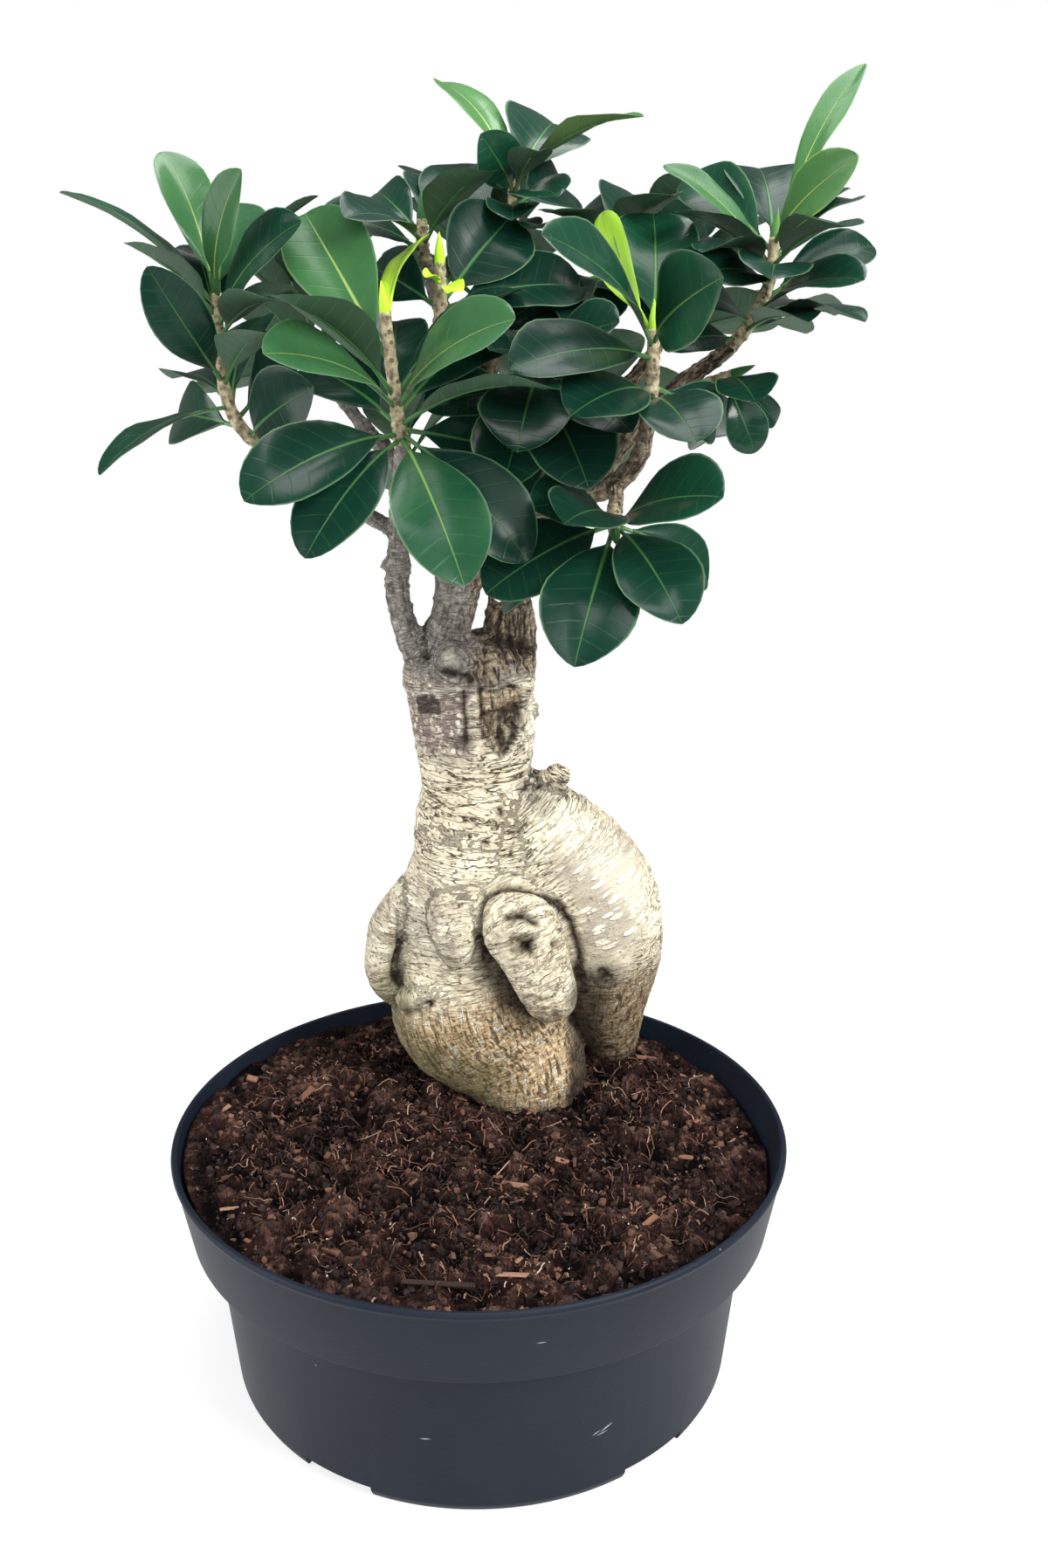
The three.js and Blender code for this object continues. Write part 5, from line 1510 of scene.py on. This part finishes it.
SHOOTS = [
    Shoot(
        "shoot_left",
        [(-66, 13, 341), (-76, 9, 349), (-81, 7, 360), (-82, 5, 376), (-82, 4, 393)],
        [
            (0.95, -130, 8, 423, 20, UP, 0.12), (0.9, -106, -14, 407, 20, UP),
            (0.6, -97, -27, 400, 19, FRONT), (0.99, -98, 16, 436, 20, FRONT_RIGHT, 0.28),
            (0.99, -69, -16, 428, 18, FRONT_LEFT, 0.36), (0.97, -80, 36, 422, 28, FRONT, 0.2),
            (0.86, -51, -21, 413, 25, RAISED), (0.9, -43, 22, 416, 22, UP),
            (0.92, -48, 4, 422, 19, UP, 0.1), (0.8, -57, -33, 390, 22, UP), (0.58, -62, -31, 381, 20, UP),
            (0.5, -105, 42, 365, 20, UP), (0.45, -115, -32, 339, 14, UP), (0.3, -105, 46, 352, 24, FRONT),
            (0.35, -66, 43, 373, 24, FRONT_RIGHT), (0.2, -49, -25, 365, 26, FRONT),
            (0.16, -61, 50, 344, 24, FRONT),
        ],
        extra=2,
        fan=(70, 40),
    ),
    Shoot(
        "shoot_front_left",
        [(-22, -30, 346), (-23, -32, 355), (-24, -34, 366), (-26, -36, 387)],
        [
            (0.78, -59, -3, 412, 28, FRONT, 0.32), (0.6, -55, -75, 391, 26, UP),
            (0.5, -57, -78, 376, 26, RAISED, 0.25), (0.3, -60, 1, 366, 28, RAISED),
            (0.2, -66, -67, 335, 28, RAISED), (0.14, -49, -70, 319, 24, RAISED),
            (0.16, -3, -77, 312, 29, RAISED, 0.2), (0.2, 16, -51, 315, 27, RAISED),
            (0.5, 12, -68, 385, 28, RAISED, 0.24), (0.6, 11, -6, 394, 24, UP),
            (0.42, 10, -3, 383, 26, RAISED), (0.3, 24, -70, 366, 24, UP), (0.24, 12, 4, 342, 24, FRONT),
            (0.95, -8, 5, 412, 13, FRONT_LEFT, 1.0),
        ],
        extra=2,
        fan=(70, 50),
    ),
    Shoot(
        "shoot_young",
        [(-10, -8, 382), (-10, -9, 392), (-10, -10, 402)],
        [
            (0.4, 17, 8, 413, 30, FRONT), (0.3, 36, -4, 399, 27, RAISED),
            (0.6, -3, -21, 393, 7, RAISED, 1.0), (0.7, -14, -21, 397, 6, RAISED, 1.0),
            (0.3, -33, 22, 401, 22, FRONT),
        ],
        extra=1,
        fan=(60, 70),
    ),
    Shoot(
        "shoot_upper_left",
        [(-15, 15, 401), (-16, 14, 408), (-16, 13, 416)],
        [
            (0.8, -10, 54, 430, 25, FRONT), (0.7, -32, 44, 426, 17, FRONT),
            (0.6, -38, -24, 414, 22, RAISED), (0.4, -46, -10, 409, 18, RAISED), (0.8, 4, 48, 430, 24, UP),
            (0.5, 6, -20, 422, 22, UP),
        ],
    ),
    Shoot(
        "shoot_top",
        [(13, 24, 412), (14, 23, 421), (14, 22, 430)],
        [
            (0.85, -11, 62, 463, 20, FRONT_RIGHT, 0.42), (0.7, 3, 2, 440, 17, FRONT, 0.1),
            (0.9, 29, 62, 450, 32, FRONT), (0.9, 51, -23, 442, 13, UP, 0.4), (0.7, 21, -8, 434, 14, UP),
            (0.5, 27, -10, 421, 20, RAISED), (0.5, 33, 54, 428, 24, FRONT), (0.4, -2, -8, 420, 22, RAISED),
            (0.3, 8, 66, 416, 24, UP),
        ],
    ),
    Shoot(
        "shoot_upper_right",
        [(43, 27, 394), (45, 26, 403), (47, 26, 412)],
        [
            (0.8, 34, 60, 423, 25, FRONT), (0.8, 57, 61, 427, 25, FRONT), (0.7, 24, -8, 422, 17, UP),
            (0.6, 62, -14, 421, 19, UP), (0.5, 17, -6, 412, 22, UP), (0.4, 80, 52, 418, 24, FRONT),
            (0.2, 34, -18, 386, 26, RAISED), (0.25, 12, -8, 392, 24, RAISED),
            (0.15, 58, -10, 384, 24, RAISED),
        ],
    ),
    Shoot(
        "shoot_front_right",
        [(54, -27, 355), (55, -29, 366), (55, -30, 374), (55, -30, 382)],
        [
            (0.95, 41, -2, 417, 14, FRONT_LEFT, 0.85), (0.85, 69, -72, 396, 28, FRONT_LEFT, 0.2),
            (0.9, 58, 4, 417, 28, FRONT, 0.08), (0.8, 19, -70, 407, 25, RAISED),
            (0.65, 15, -69, 367, 26, RAISED), (0.25, 23, -64, 362, 26, RAISED),
            (0.2, 64, -66, 351, 26, RAISED), (0.3, 80, 0, 352, 20, FRONT), (0.15, 22, -2, 350, 26, RAISED),
        ],
        extra=1,
        fan=(60, 60),
    ),
    Shoot(
        "shoot_right",
        [(84, 8, 375), (91, 6, 384), (96, 4, 396), (97, 3, 410)],
        [
            (0.95, 128, 25, 464, 11, FRONT_LEFT, 0.4), (0.97, 112, -40, 430, 17, FRONT_LEFT, 0.6),
            (0.95, 98, 43, 434, 30, FRONT), (0.9, 79, 38, 434, 22, FRONT, 0.12),
            (0.8, 63, 22, 433, 11, FRONT_RIGHT, 0.35), (0.75, 59, -15, 416, 16, UP),
            (0.78, 64, -26, 410, 20, UP), (0.65, 70, -34, 402, 24, RAISED), (0.8, 112, -36, 411, 24, UP),
            (0.7, 88, -42, 396, 24, RAISED), (0.55, 132, 15, 408, 20, RAISED),
            (0.45, 117, -36, 396, 22, RAISED), (0.4, 125, 34, 386, 20, UP), (0.35, 120, -28, 384, 19, UP),
            (0.25, 102, -31, 384, 20, UP), (0.2, 116, 37, 380, 17, UP), (0.85, 130, 29, 423, 20, UP),
            (0.9, 121, 34, 432, 24, FRONT_LEFT), (0.3, 66, -18, 392, 26, RAISED),
            (0.12, 61, -10, 376, 18, RAISED),
        ],
    ),
    Shoot(
        "shoot_lower_right",
        [(76, 2, 364), (80, -2, 366), (84, -6, 368)],
        [
            (0.9, 88, -26, 360, 21, RAISED), (0.7, 92, -6, 343, 15, FRONT), (0.8, 102, 12, 351, 9, FRONT),
            (0.5, 84, 32, 345, 24, FRONT),
        ],
    ),
    Shoot(
        "shoot_low_front",
        [(45, -20, 327), (44, -27, 323), (44, -33, 321)],
        [
            (0.6, 73, -62, 335, 32, RAISED), (0.6, 61, -70, 299, 27, RAISED),
            (0.5, 77, -14, 302, 22, RAISED), (0.85, 29, -73, 287, 31, RAISED),
            (0.6, 4, -55, 310, 29, RAISED), (0.4, 9, 2, 292, 26, RAISED), (0.5, 26, -66, 328, 26, RAISED),
            (0.3, 17, -44, 330, 22, RAISED),
        ],
        shine=0.5,
    ),
    Shoot(
        "shoot_centre",
        [(19, 2, 360), (20, -5, 365), (21, -11, 369)],
        [
            (0.5, 26, -43, 329, 30, RAISED), (0.3, 9, -42, 336, 28, RAISED),
            (0.6, 13, -48, 347, 30, RAISED), (0.6, 49, -38, 347, 26, RAISED),
            (0.8, 44, -36, 384, 26, RAISED), (0.9, 5, -38, 376, 24, RAISED),
            (0.2, 20, -25, 323, 26, RAISED), (0.15, -14, -20, 343, 26, RAISED),
            (0.8, 31, -18, 379, 24, RAISED), (0.4, 56, 2, 370, 26, FRONT),
        ],
    ),
    # The back of the crown, whose leaves turn by the golden angle
    Shoot(
        "shoot_back_left", [(-48, 64, 357), (-56, 69, 366), (-60, 71, 378), (-61, 71, 390)],
        extra=12, fan=(200, GOLDEN_ANGLE),
    ),
    Shoot(
        "shoot_back", [(5, 66, 380), (6, 70, 389), (7, 71, 400), (7, 71, 410)],
        extra=12, fan=(30, GOLDEN_ANGLE),
    ),
    Shoot(
        "shoot_back_right", [(62, 58, 369), (69, 64, 378), (72, 66, 389), (73, 66, 400)],
        extra=12, fan=(320, GOLDEN_ANGLE),
    ),
    Shoot(
        "shoot_low_back_left", [(-22, 66, 330), (-25, 71, 337), (-27, 73, 346)],
        extra=10, fan=(90, GOLDEN_ANGLE),
    ),
    Shoot(
        "shoot_low_back_right", [(36, 62, 340), (38, 67, 346), (40, 69, 354)],
        extra=10, fan=(60, GOLDEN_ANGLE),
    ),
]


# Soil


@dataclass(frozen=True)
class Strip:
    """A strip of bark lying on the soil: its middle, length, width, turn in degrees and tone."""

    x: float
    y: float
    length: float
    width: float
    turn: float
    tone: float


Bit = Callable[[bmesh.types.BMesh, Any, int], None]


@dataclass
class Soil:
    """The coir and peat filling, with its loose crumbs, fibres and bark strips."""

    level: float = 85.5
    tilt: float = 0.045
    mound_height: float = 8.0
    mound_reach: float = 50.0
    mound_centre: tuple[float, float] = (38.0, 62.0)
    base_radius: float = 92.05
    wall_radius: float = 98.05
    band_radius: float = 106.05
    bottom: float = 7.3
    wall_top: float = 61.8
    band_bottom: float = 67.2
    band_inside: float = 106.8
    band_floor: float = 66.2
    band_slope: float = 0.2086
    edge_gap: float = 1.4
    sides: int = 360
    rings: int = 186
    crumbs: int = 5200
    fibres: int = 3000
    chips: int = 130
    batch: int = 80
    speck_every: int = 60
    fibre_bends: int = 3
    clod_height: float = 4.0
    strips: Sequence[Strip] = (
        Strip(7, -84, 17, 2.4, -14, 0.60),
        Strip(-14, -91, 24, 1.8, -6, 0.22),
        Strip(-88, -46, 7, 2.8, 10, 0.72),
        Strip(45, -92, 12, 1.6, 8, 0.48),
        Strip(12, -30, 10, 2.4, -20, 0.60),
        Strip(58, -52, 9, 2.2, 35, 0.55),
        Strip(-52, -70, 11, 2.0, -35, 0.45),
        Strip(-70, 30, 12, 2.4, 60, 0.50),
        Strip(70, 60, 10, 2.4, 20, 0.50),
        Strip(-30, 88, 14, 2.6, 5, 0.45),
    )

    def height(self, x: float, y: float) -> float:
        """The soil's level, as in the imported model."""
        reach = math.hypot(x - self.mound_centre[0], y - self.mound_centre[1]) / self.mound_reach
        mound = self.mound_height * math.exp(-reach * reach)
        lumps = 0.9 * math.sin(x / 9 + 1) * math.sin(y / 8) + 0.6 * math.sin(x / 5 + y / 6.5)
        return self.level - self.tilt * x + mound + lumps

    def edge(self, angle: float) -> float:
        """How far from the middle the soil meets the pot, at an angle."""
        height = self.height(self.band_inside * math.cos(angle), self.band_inside * math.sin(angle))
        return self.band_inside + self.band_slope * (height - self.band_floor) - self.edge_gap

    @staticmethod
    def clod(x: float, y: float) -> float:
        """The relief of the clods and crumbs, from about -1 to 1."""
        spot = Vector((x, y, 0.0))
        large = 1 - noise.voronoi(spot / 8.0 + noise.noise_vector(spot / 5.0) * 0.5)[0][0]
        small = 1 - noise.voronoi(spot / 3.2)[0][0]
        rolling = noise.fractal(spot / 11.0, 0.8, 2.0, 5)
        return 0.8 * (large - 0.55) + 0.35 * (small - 0.55) + 0.6 * rolling

    def surface(self, x: float, y: float) -> float:
        """The soil's level with its clods and hollows."""
        rim = min(1.0, (self.edge(math.atan2(y, x)) - math.hypot(x, y)) / 6.0)
        return self.height(x, y) + self.clod_height * self.clod(x, y) * max(rim, 0.3)

    def skin(self, along: float, around: float) -> Vector:
        """A point of the closed filling, from the middle of its bottom to the middle of its top."""
        corners = [
            (0.0, self.bottom), (self.base_radius, self.bottom), (self.wall_radius, self.wall_top),
            (self.band_radius, self.band_bottom),
        ]
        row = round(along * self.rings)
        cosine, sine = circle(around)
        if row < len(corners):
            radius, height = corners[row]
            return Vector((radius * cosine, radius * sine, height))
        radius = self.edge(2 * math.pi * around) * (self.rings - row) / (self.rings - len(corners))
        return Vector((radius * cosine, radius * sine, self.surface(radius * cosine, radius * sine)))

    def scattered(self, chance: random.Random, margin: float) -> Vector:
        """A random point on the soil, no nearer the pot's wall than a margin."""
        share = math.sqrt(chance.random())
        angle = chance.uniform(0, 2 * math.pi)
        radius = (self.edge(angle) - margin) * share
        x, y = radius * math.cos(angle), radius * math.sin(angle)
        return Vector((x, y, self.surface(x, y)))

    def loose(self, name: str, material: bpy.types.Material, count: int, add: Bit) -> None:
        """Makes one piece of many loose bits, a batch at a time.

        Args:
            name: The piece's name.
            material: The bits' finish.
            count: How many bits there are.
            add: Adds one bit to a mesh, given its tone layer and the bit's number.
        """
        whole = bmesh.new()
        for first in range(0, count, self.batch):
            batch = bmesh.new()
            tone = batch.verts.layers.float_vector.new("tone")
            for number in range(first, min(first + self.batch, count)):
                add(batch, tone, number)
            mesh = bpy.data.meshes.new("batch")
            batch.to_mesh(mesh)
            batch.free()
            whole.from_mesh(mesh)
            bpy.data.meshes.remove(mesh)
        placed(finished(whole, name, smooth=False), Slot.SOIL, [material])

    def crumb(self, chance: random.Random) -> Bit:
        """Rounded crumbs of peat, with a few pale specks."""
        def add(shape: bmesh.types.BMesh, layer: Any, number: int) -> None:
            """Adds one crumb."""
            speck = number % self.speck_every == 0
            tone = 1.0 if speck else 0.02 + 0.5 * chance.random() ** 1.8
            size = 0.35 if speck else 0.4 + 1.5 * chance.random() ** 2.5
            spot = self.scattered(chance, 2.5) + Vector((0, 0, 0.2 * size))
            turn = Quaternion([chance.gauss(0, 1) for _ in range(4)]).normalized().to_matrix().to_4x4()
            broad, high = size * chance.uniform(0.5, 1), size * chance.uniform(0.4, 0.9)
            stretch = Matrix.Diagonal((size, broad, high, 1))
            matrix = Matrix.Scale(MM, 4) @ Matrix.Translation(spot) @ turn @ stretch
            made = bmesh.ops.create_icosphere(shape, subdivisions=1, radius=1.0, matrix=matrix)
            for vert in made["verts"]:
                vert[layer] = (tone, 0, 0)
                vert.co += Vector([chance.gauss(0, 0.16 * size) for _ in range(3)]) * MM
        return add

    def fibre(self, chance: random.Random) -> Bit:
        """Thin curled fibres lying on the crumbs."""
        def add(shape: bmesh.types.BMesh, layer: Any, number: int) -> None:
            """Adds one fibre."""
            spot = self.scattered(chance, 14.0)
            points = [spot]
            heading = chance.uniform(0, 2 * math.pi)
            length = 1.5 + 9.0 * chance.random() ** 4
            for _ in range(self.fibre_bends):
                heading += chance.gauss(0, 0.45)
                spot = spot + Vector((math.cos(heading), math.sin(heading), 0)) * (length / self.fibre_bends)
                spot.z = self.surface(spot.x, spot.y) + 0.3 + 1.2 * chance.random()
                points.append(spot)
            radius = chance.uniform(0.10, 0.30)
            tone = 0.24 + 0.56 * chance.random() ** 2.4

            def paint(vert: bmesh.types.BMVert, along: float, around: float) -> None:
                """Paints the fibre's tone."""
                vert[layer] = (tone, 0, 0)

            rolled(shape, 5, 3, Limb([(*point, radius) for point in points]).skin, paint)
        return add

    def chip(self, chance: random.Random) -> Bit:
        """Flat bark chips, of which the first are the named strips."""
        def add(shape: bmesh.types.BMesh, layer: Any, number: int) -> None:
            """Adds one chip."""
            if number < len(self.strips):
                strip = self.strips[number]
            else:
                spot = self.scattered(chance, 6.0)
                length = 1.6 + 4.0 * chance.random() ** 2
                width = length * chance.uniform(0.25, 0.6)
                turn, tone = chance.uniform(0, 180), chance.uniform(0.25, 0.66)
                strip = Strip(spot.x, spot.y, length, width, turn, tone)
            thick = 0.35 + 0.25 * strip.width
            matrix = Matrix.Scale(MM, 4)
            matrix @= Matrix.Translation((strip.x, strip.y, self.surface(strip.x, strip.y) + 0.5))
            matrix @= Matrix.Rotation(math.radians(strip.turn), 4, "Z")
            matrix @= Matrix.Rotation(chance.gauss(0, 0.2), 4, "Y")
            matrix @= Matrix.Rotation(chance.gauss(0, 0.3), 4, "X")
            matrix @= Matrix.Diagonal((strip.length, strip.width, thick, 1))
            made = bmesh.ops.create_cube(shape, size=1.0, matrix=matrix)["verts"]
            for vert in made:
                vert[layer] = (strip.tone, 0, 0)
                vert.co += Vector([chance.gauss(0, 0.12 * strip.width) for _ in range(3)]) * MM
            rounded(shape, list(dict.fromkeys(edge for vert in made for edge in vert.link_edges)), 0.25, 1)
        return add

    def build(self, soil: SoilFinish, crumb: CrumbFinish, chance: random.Random) -> None:
        """Makes the filling in place of its node, and the loose bits on it.

        Args:
            soil: The filling's finish.
            crumb: The loose bits' finish.
            chance: Where the bits' places and sizes come from.
        """
        shape = bmesh.new()
        layer = shape.verts.layers.float_vector.new("tone")

        def paint(vert: bmesh.types.BMVert, along: float, around: float) -> None:
            """Paints how high the vertex stands on its clod, which the soil's material turns into painted
            shade in the hollows and painted light on the tops.
            """
            vert[layer] = (0.5 + 0.5 * self.clod(vert.co.x / MM, vert.co.y / MM), 0, 0)

        rolled(shape, self.rings, self.sides, self.skin, paint)
        placed(finished(shape, "soil_filling"), Slot.SOIL, [soil.material()], "soil")
        bits = crumb.material()
        self.loose("soil_crumbs", bits, self.crumbs, self.crumb(chance))
        self.loose("soil_fibres", bits, self.fibres, self.fibre(chance))
        self.loose("soil_chips", bits, self.chips, self.chip(chance))


# Pot


@dataclass
class Pot:
    """The round nursery bowl, with its rim band, raised floor and broken foot."""

    rim_radius: float = 115.0
    rim_top: float = 94.0
    lip_width: float = 2.4
    lip_height: float = 3.0
    band_bottom: float = 64.0
    band_bottom_radius: float = 109.0
    wall_top_radius: float = 101.0
    base_radius: float = 95.0
    base_corner: float = 3.0
    wall: float = 2.2
    floor_bottom: float = 5.0
    floor_top: float = 7.0
    foot_width: float = 4.0
    foot_count: int = 5
    first_foot_angle: float = 3.5
    notch_angle: float = 17.0
    notch_height: float = 4.4
    drain_count: int = 6
    drain_radius: float = 5.0
    drain_circle: float = 68.0
    steps: int = 180
    rounding: float = 0.55
    corner_angle: float = 12.0
    smooth_angle: float = 32.0

    def profile(self) -> list[tuple[float, float]]:
        """The bowl's outline as radius and height, from under its floor round to its top."""
        return [
            (0, self.floor_bottom),
            (self.base_radius - self.foot_width, self.floor_bottom),
            (self.base_radius - self.foot_width, 0),
            (self.base_radius - self.base_corner / 2, 0),
            (self.base_radius, self.base_corner),
            (self.wall_top_radius, self.band_bottom),
            (self.band_bottom_radius, self.band_bottom),
            (self.rim_radius - 1, self.rim_top - self.lip_height),
            (self.rim_radius, self.rim_top - self.lip_height / 2),
            (self.rim_radius - self.lip_width / 3, self.rim_top),
            (self.rim_radius - self.lip_width, self.rim_top),
            (self.band_bottom_radius - self.wall, self.band_bottom + self.wall),
            (self.wall_top_radius - self.wall, self.band_bottom - self.wall),
            (self.base_radius - self.wall, self.floor_top),
            (0, self.floor_top),
        ]

    def bowl(self) -> bmesh.types.BMesh:
        """The bowl, spun from its outline, with its corners rounded."""
        shape = bmesh.new()
        verts = [shape.verts.new((radius * MM, 0, height * MM)) for radius, height in self.profile()]
        edges = [shape.edges.new(pair) for pair in zip(verts, verts[1:])]
        bmesh.ops.spin(
            shape, geom=[*verts, *edges], cent=(0, 0, 0), axis=(0, 0, 1), angle=2 * math.pi,
            steps=self.steps, use_merge=True,
        )
        bmesh.ops.remove_doubles(shape, verts=shape.verts, dist=1e-6)
        bmesh.ops.recalc_face_normals(shape, faces=shape.faces)
        corner = math.radians(self.corner_angle)
        hoops = [edge for edge in shape.edges if self.is_hoop(edge) and edge.calc_face_angle(0) > corner]
        rounded(shape, hoops, self.rounding, 3)
        return shape

    @staticmethod
    def is_hoop(edge: bmesh.types.BMEdge) -> bool:
        """Whether an edge runs level round the bowl."""
        start, end = (vert.co for vert in edge.verts)
        return abs(start.z - end.z) < 1e-6 and min(start.xy.length, end.xy.length) > 0.01

    def cutter(self) -> bpy.types.Object:
        """The blocks and pins that cut the foot's notches and the drainage holes."""
        shape = bmesh.new()
        width = 2 * self.base_radius * math.sin(math.radians(self.notch_angle / 2))
        for foot in range(self.foot_count):
            angle = math.radians(self.first_foot_angle + (foot + 0.5) * (360 / self.foot_count) - 90)
            size = Matrix.Diagonal((self.foot_width * 3, width, self.notch_height * 2, 1))
            matrix = Matrix.Rotation(angle, 4, "Z") @ Matrix.Translation((self.base_radius, 0, 0)) @ size
            bmesh.ops.create_cube(shape, size=1.0, matrix=Matrix.Scale(MM, 4) @ matrix)
        for drain in range(self.drain_count):
            cosine, sine = circle((drain + 0.5) / self.drain_count)
            spot = (self.drain_circle * cosine, self.drain_circle * sine, self.floor_bottom)
            matrix = Matrix.Scale(MM, 4) @ Matrix.Translation(spot)
            bmesh.ops.create_cone(
                shape, cap_ends=True, segments=24, radius1=self.drain_radius, radius2=self.drain_radius,
                depth=self.floor_top * 2, matrix=matrix,
            )
        return finished(shape, "pot_cutter")

    def build(self, finish: PotFinish) -> None:
        """Makes the bowl in place of its node.

        Args:
            finish: The plastic's finish.
        """
        bowl = finished(self.bowl(), "pot_block")
        cutter = self.cutter()
        cut = bowl.modifiers.new("cut", "BOOLEAN")
        cut.operation = "DIFFERENCE"
        cut.solver = "EXACT"
        cut.object = cutter
        mesh = baked(bowl)
        bpy.data.objects.remove(cutter)
        shape = bmesh.new()
        shape.from_mesh(mesh)
        for edge in shape.edges:
            edge.smooth = edge.calc_face_angle(0) < math.radians(self.smooth_angle)
        placed(finished(shape, "pot_bowl"), Slot.POT, [finish.material()], "pot")


# Studio


@dataclass(frozen=True)
class Lamp:
    """A square soft light: its name, place in metres, size, power and the height that it looks at."""

    name: str
    place: tuple[float, float, float]
    size: float
    power: float
    aim: float = 0.2

    def build(self) -> None:
        """Hangs the light."""
        data = bpy.data.lights.new(self.name, "AREA")
        data.shape = "SQUARE"
        data.size = self.size
        data.energy = self.power
        lamp = bpy.data.objects.new(self.name, data)
        lamp.location = self.place
        lamp.rotation_euler = (Vector((0, 0, self.aim)) - lamp.location).to_track_quat("-Z", "Y").to_euler()
        bpy.context.scene.collection.objects.link(lamp)


@dataclass
class Studio:
    """A plain pale floor, soft lights and the camera at the photograph's angle."""

    floor_size: float = 1.5
    floor_colour: Colour = (0.30, 0.30, 0.30)
    floor_shade: Colour = (0.28, 0.28, 0.28)
    glow: float = 0.72
    sky: float = 0.35
    sheen: float = 0.20
    lamps: Sequence[Lamp] = (
        Lamp("overhead_light", (0.15, 0.1, 1.5), 1.0, 22.0),
        Lamp("right_light", (0.9, -0.7, 1.0), 0.6, 22.0),
        Lamp("left_light", (-1.2, -0.3, 0.6), 1.0, 14.0),
        Lamp("front_light", (0.1, -1.5, 0.9), 1.5, 14.0),
    )
    camera_place: tuple[float, float, float] = (0.0, -0.500, 0.385)
    camera_pitch: float = 17.4
    camera_yaw: float = 1.9
    focal_pixels: float = 1700.0
    sensor: float = 36.0

    def floor(self) -> None:
        """Lays the floor."""
        shape = bmesh.new()
        bmesh.ops.create_grid(shape, x_segments=1, y_segments=1, size=self.floor_size / 2)
        piece = finished(shape, "studio_floor")
        graph = Graph("floor_paper")
        fine = graph.clouds(graph.place(), 300.0)
        shade = graph.mixed(fine, self.floor_colour, self.floor_shade)
        sockets = {"Base Color": shade, "Roughness": 0.9}
        sockets |= {"Emission Color": (1, 1, 1, 1), "Emission Strength": self.glow}
        piece.data.materials.append(graph.surface(sockets, fine, 0.02))
        piece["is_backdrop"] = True

    def world(self) -> None:
        """Lights the room evenly, dimmer in reflections, with a white background behind the object."""
        world = bpy.data.worlds.new("studio_room")
        bpy.context.scene.world = world
        world.use_nodes = True
        nodes, links = world.node_tree.nodes, world.node_tree.links
        nodes.clear()
        ray = nodes.new("ShaderNodeLightPath")
        light = self.background(nodes, self.sky)
        for kind, strength in (("Is Glossy Ray", self.sheen), ("Is Camera Ray", 1.0)):
            choice = nodes.new("ShaderNodeMixShader")
            links.new(ray.outputs[kind], choice.inputs[0])
            links.new(light.outputs[0], choice.inputs[1])
            links.new(self.background(nodes, strength).outputs[0], choice.inputs[2])
            light = choice
        links.new(light.outputs[0], nodes.new("ShaderNodeOutputWorld").inputs[0])

    @staticmethod
    def background(nodes: bpy.types.Nodes, strength: float) -> bpy.types.Node:
        """A white background of a strength."""
        made = nodes.new("ShaderNodeBackground")
        made.inputs["Color"].default_value = (1, 1, 1, 1)
        made.inputs["Strength"].default_value = strength
        return made

    def camera(self) -> None:
        """Sets the camera up as the photograph was taken."""
        data = bpy.data.cameras.new("camera")
        data.sensor_width = self.sensor
        data.lens = self.focal_pixels / max(PHOTO_WIDTH, PHOTO_HEIGHT) * self.sensor
        data.clip_start = 0.01
        camera = bpy.data.objects.new("camera", data)
        camera.location = self.camera_place
        camera.rotation_euler = (math.radians(90 - self.camera_pitch), 0, math.radians(-self.camera_yaw))
        bpy.context.scene.collection.objects.link(camera)
        bpy.context.scene.camera = camera

    def build(self) -> None:
        """Sets up the floor, the lights, the camera and the picture's tones."""
        self.floor()
        self.world()
        for lamp in self.lamps:
            lamp.build()
        self.camera()
        bpy.context.scene.view_settings.view_transform = "Standard"


def corners(box: Iterable[Vector]) -> list[list[float]]:
    """A box's corners as plain lists."""
    return [list(corner) for corner in box]


def main() -> None:
    """Builds the whole scene."""
    noise.seed_set(SEED)
    chance = random.Random(SEED)
    Studio().build()
    Pot().build(PotFinish())
    Soil().build(SoilFinish(), CrumbFinish(), chance)
    Trunk().build(BarkFinish())
    skins = [LeafFinish().material(), TwigFinish().material()]
    for shoot in SHOOTS:
        shoot.build(skins, chance)
    {"cad": corners(CAD_BOX), "visual": corners(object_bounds())}


if __name__ == "__main__":
    main()
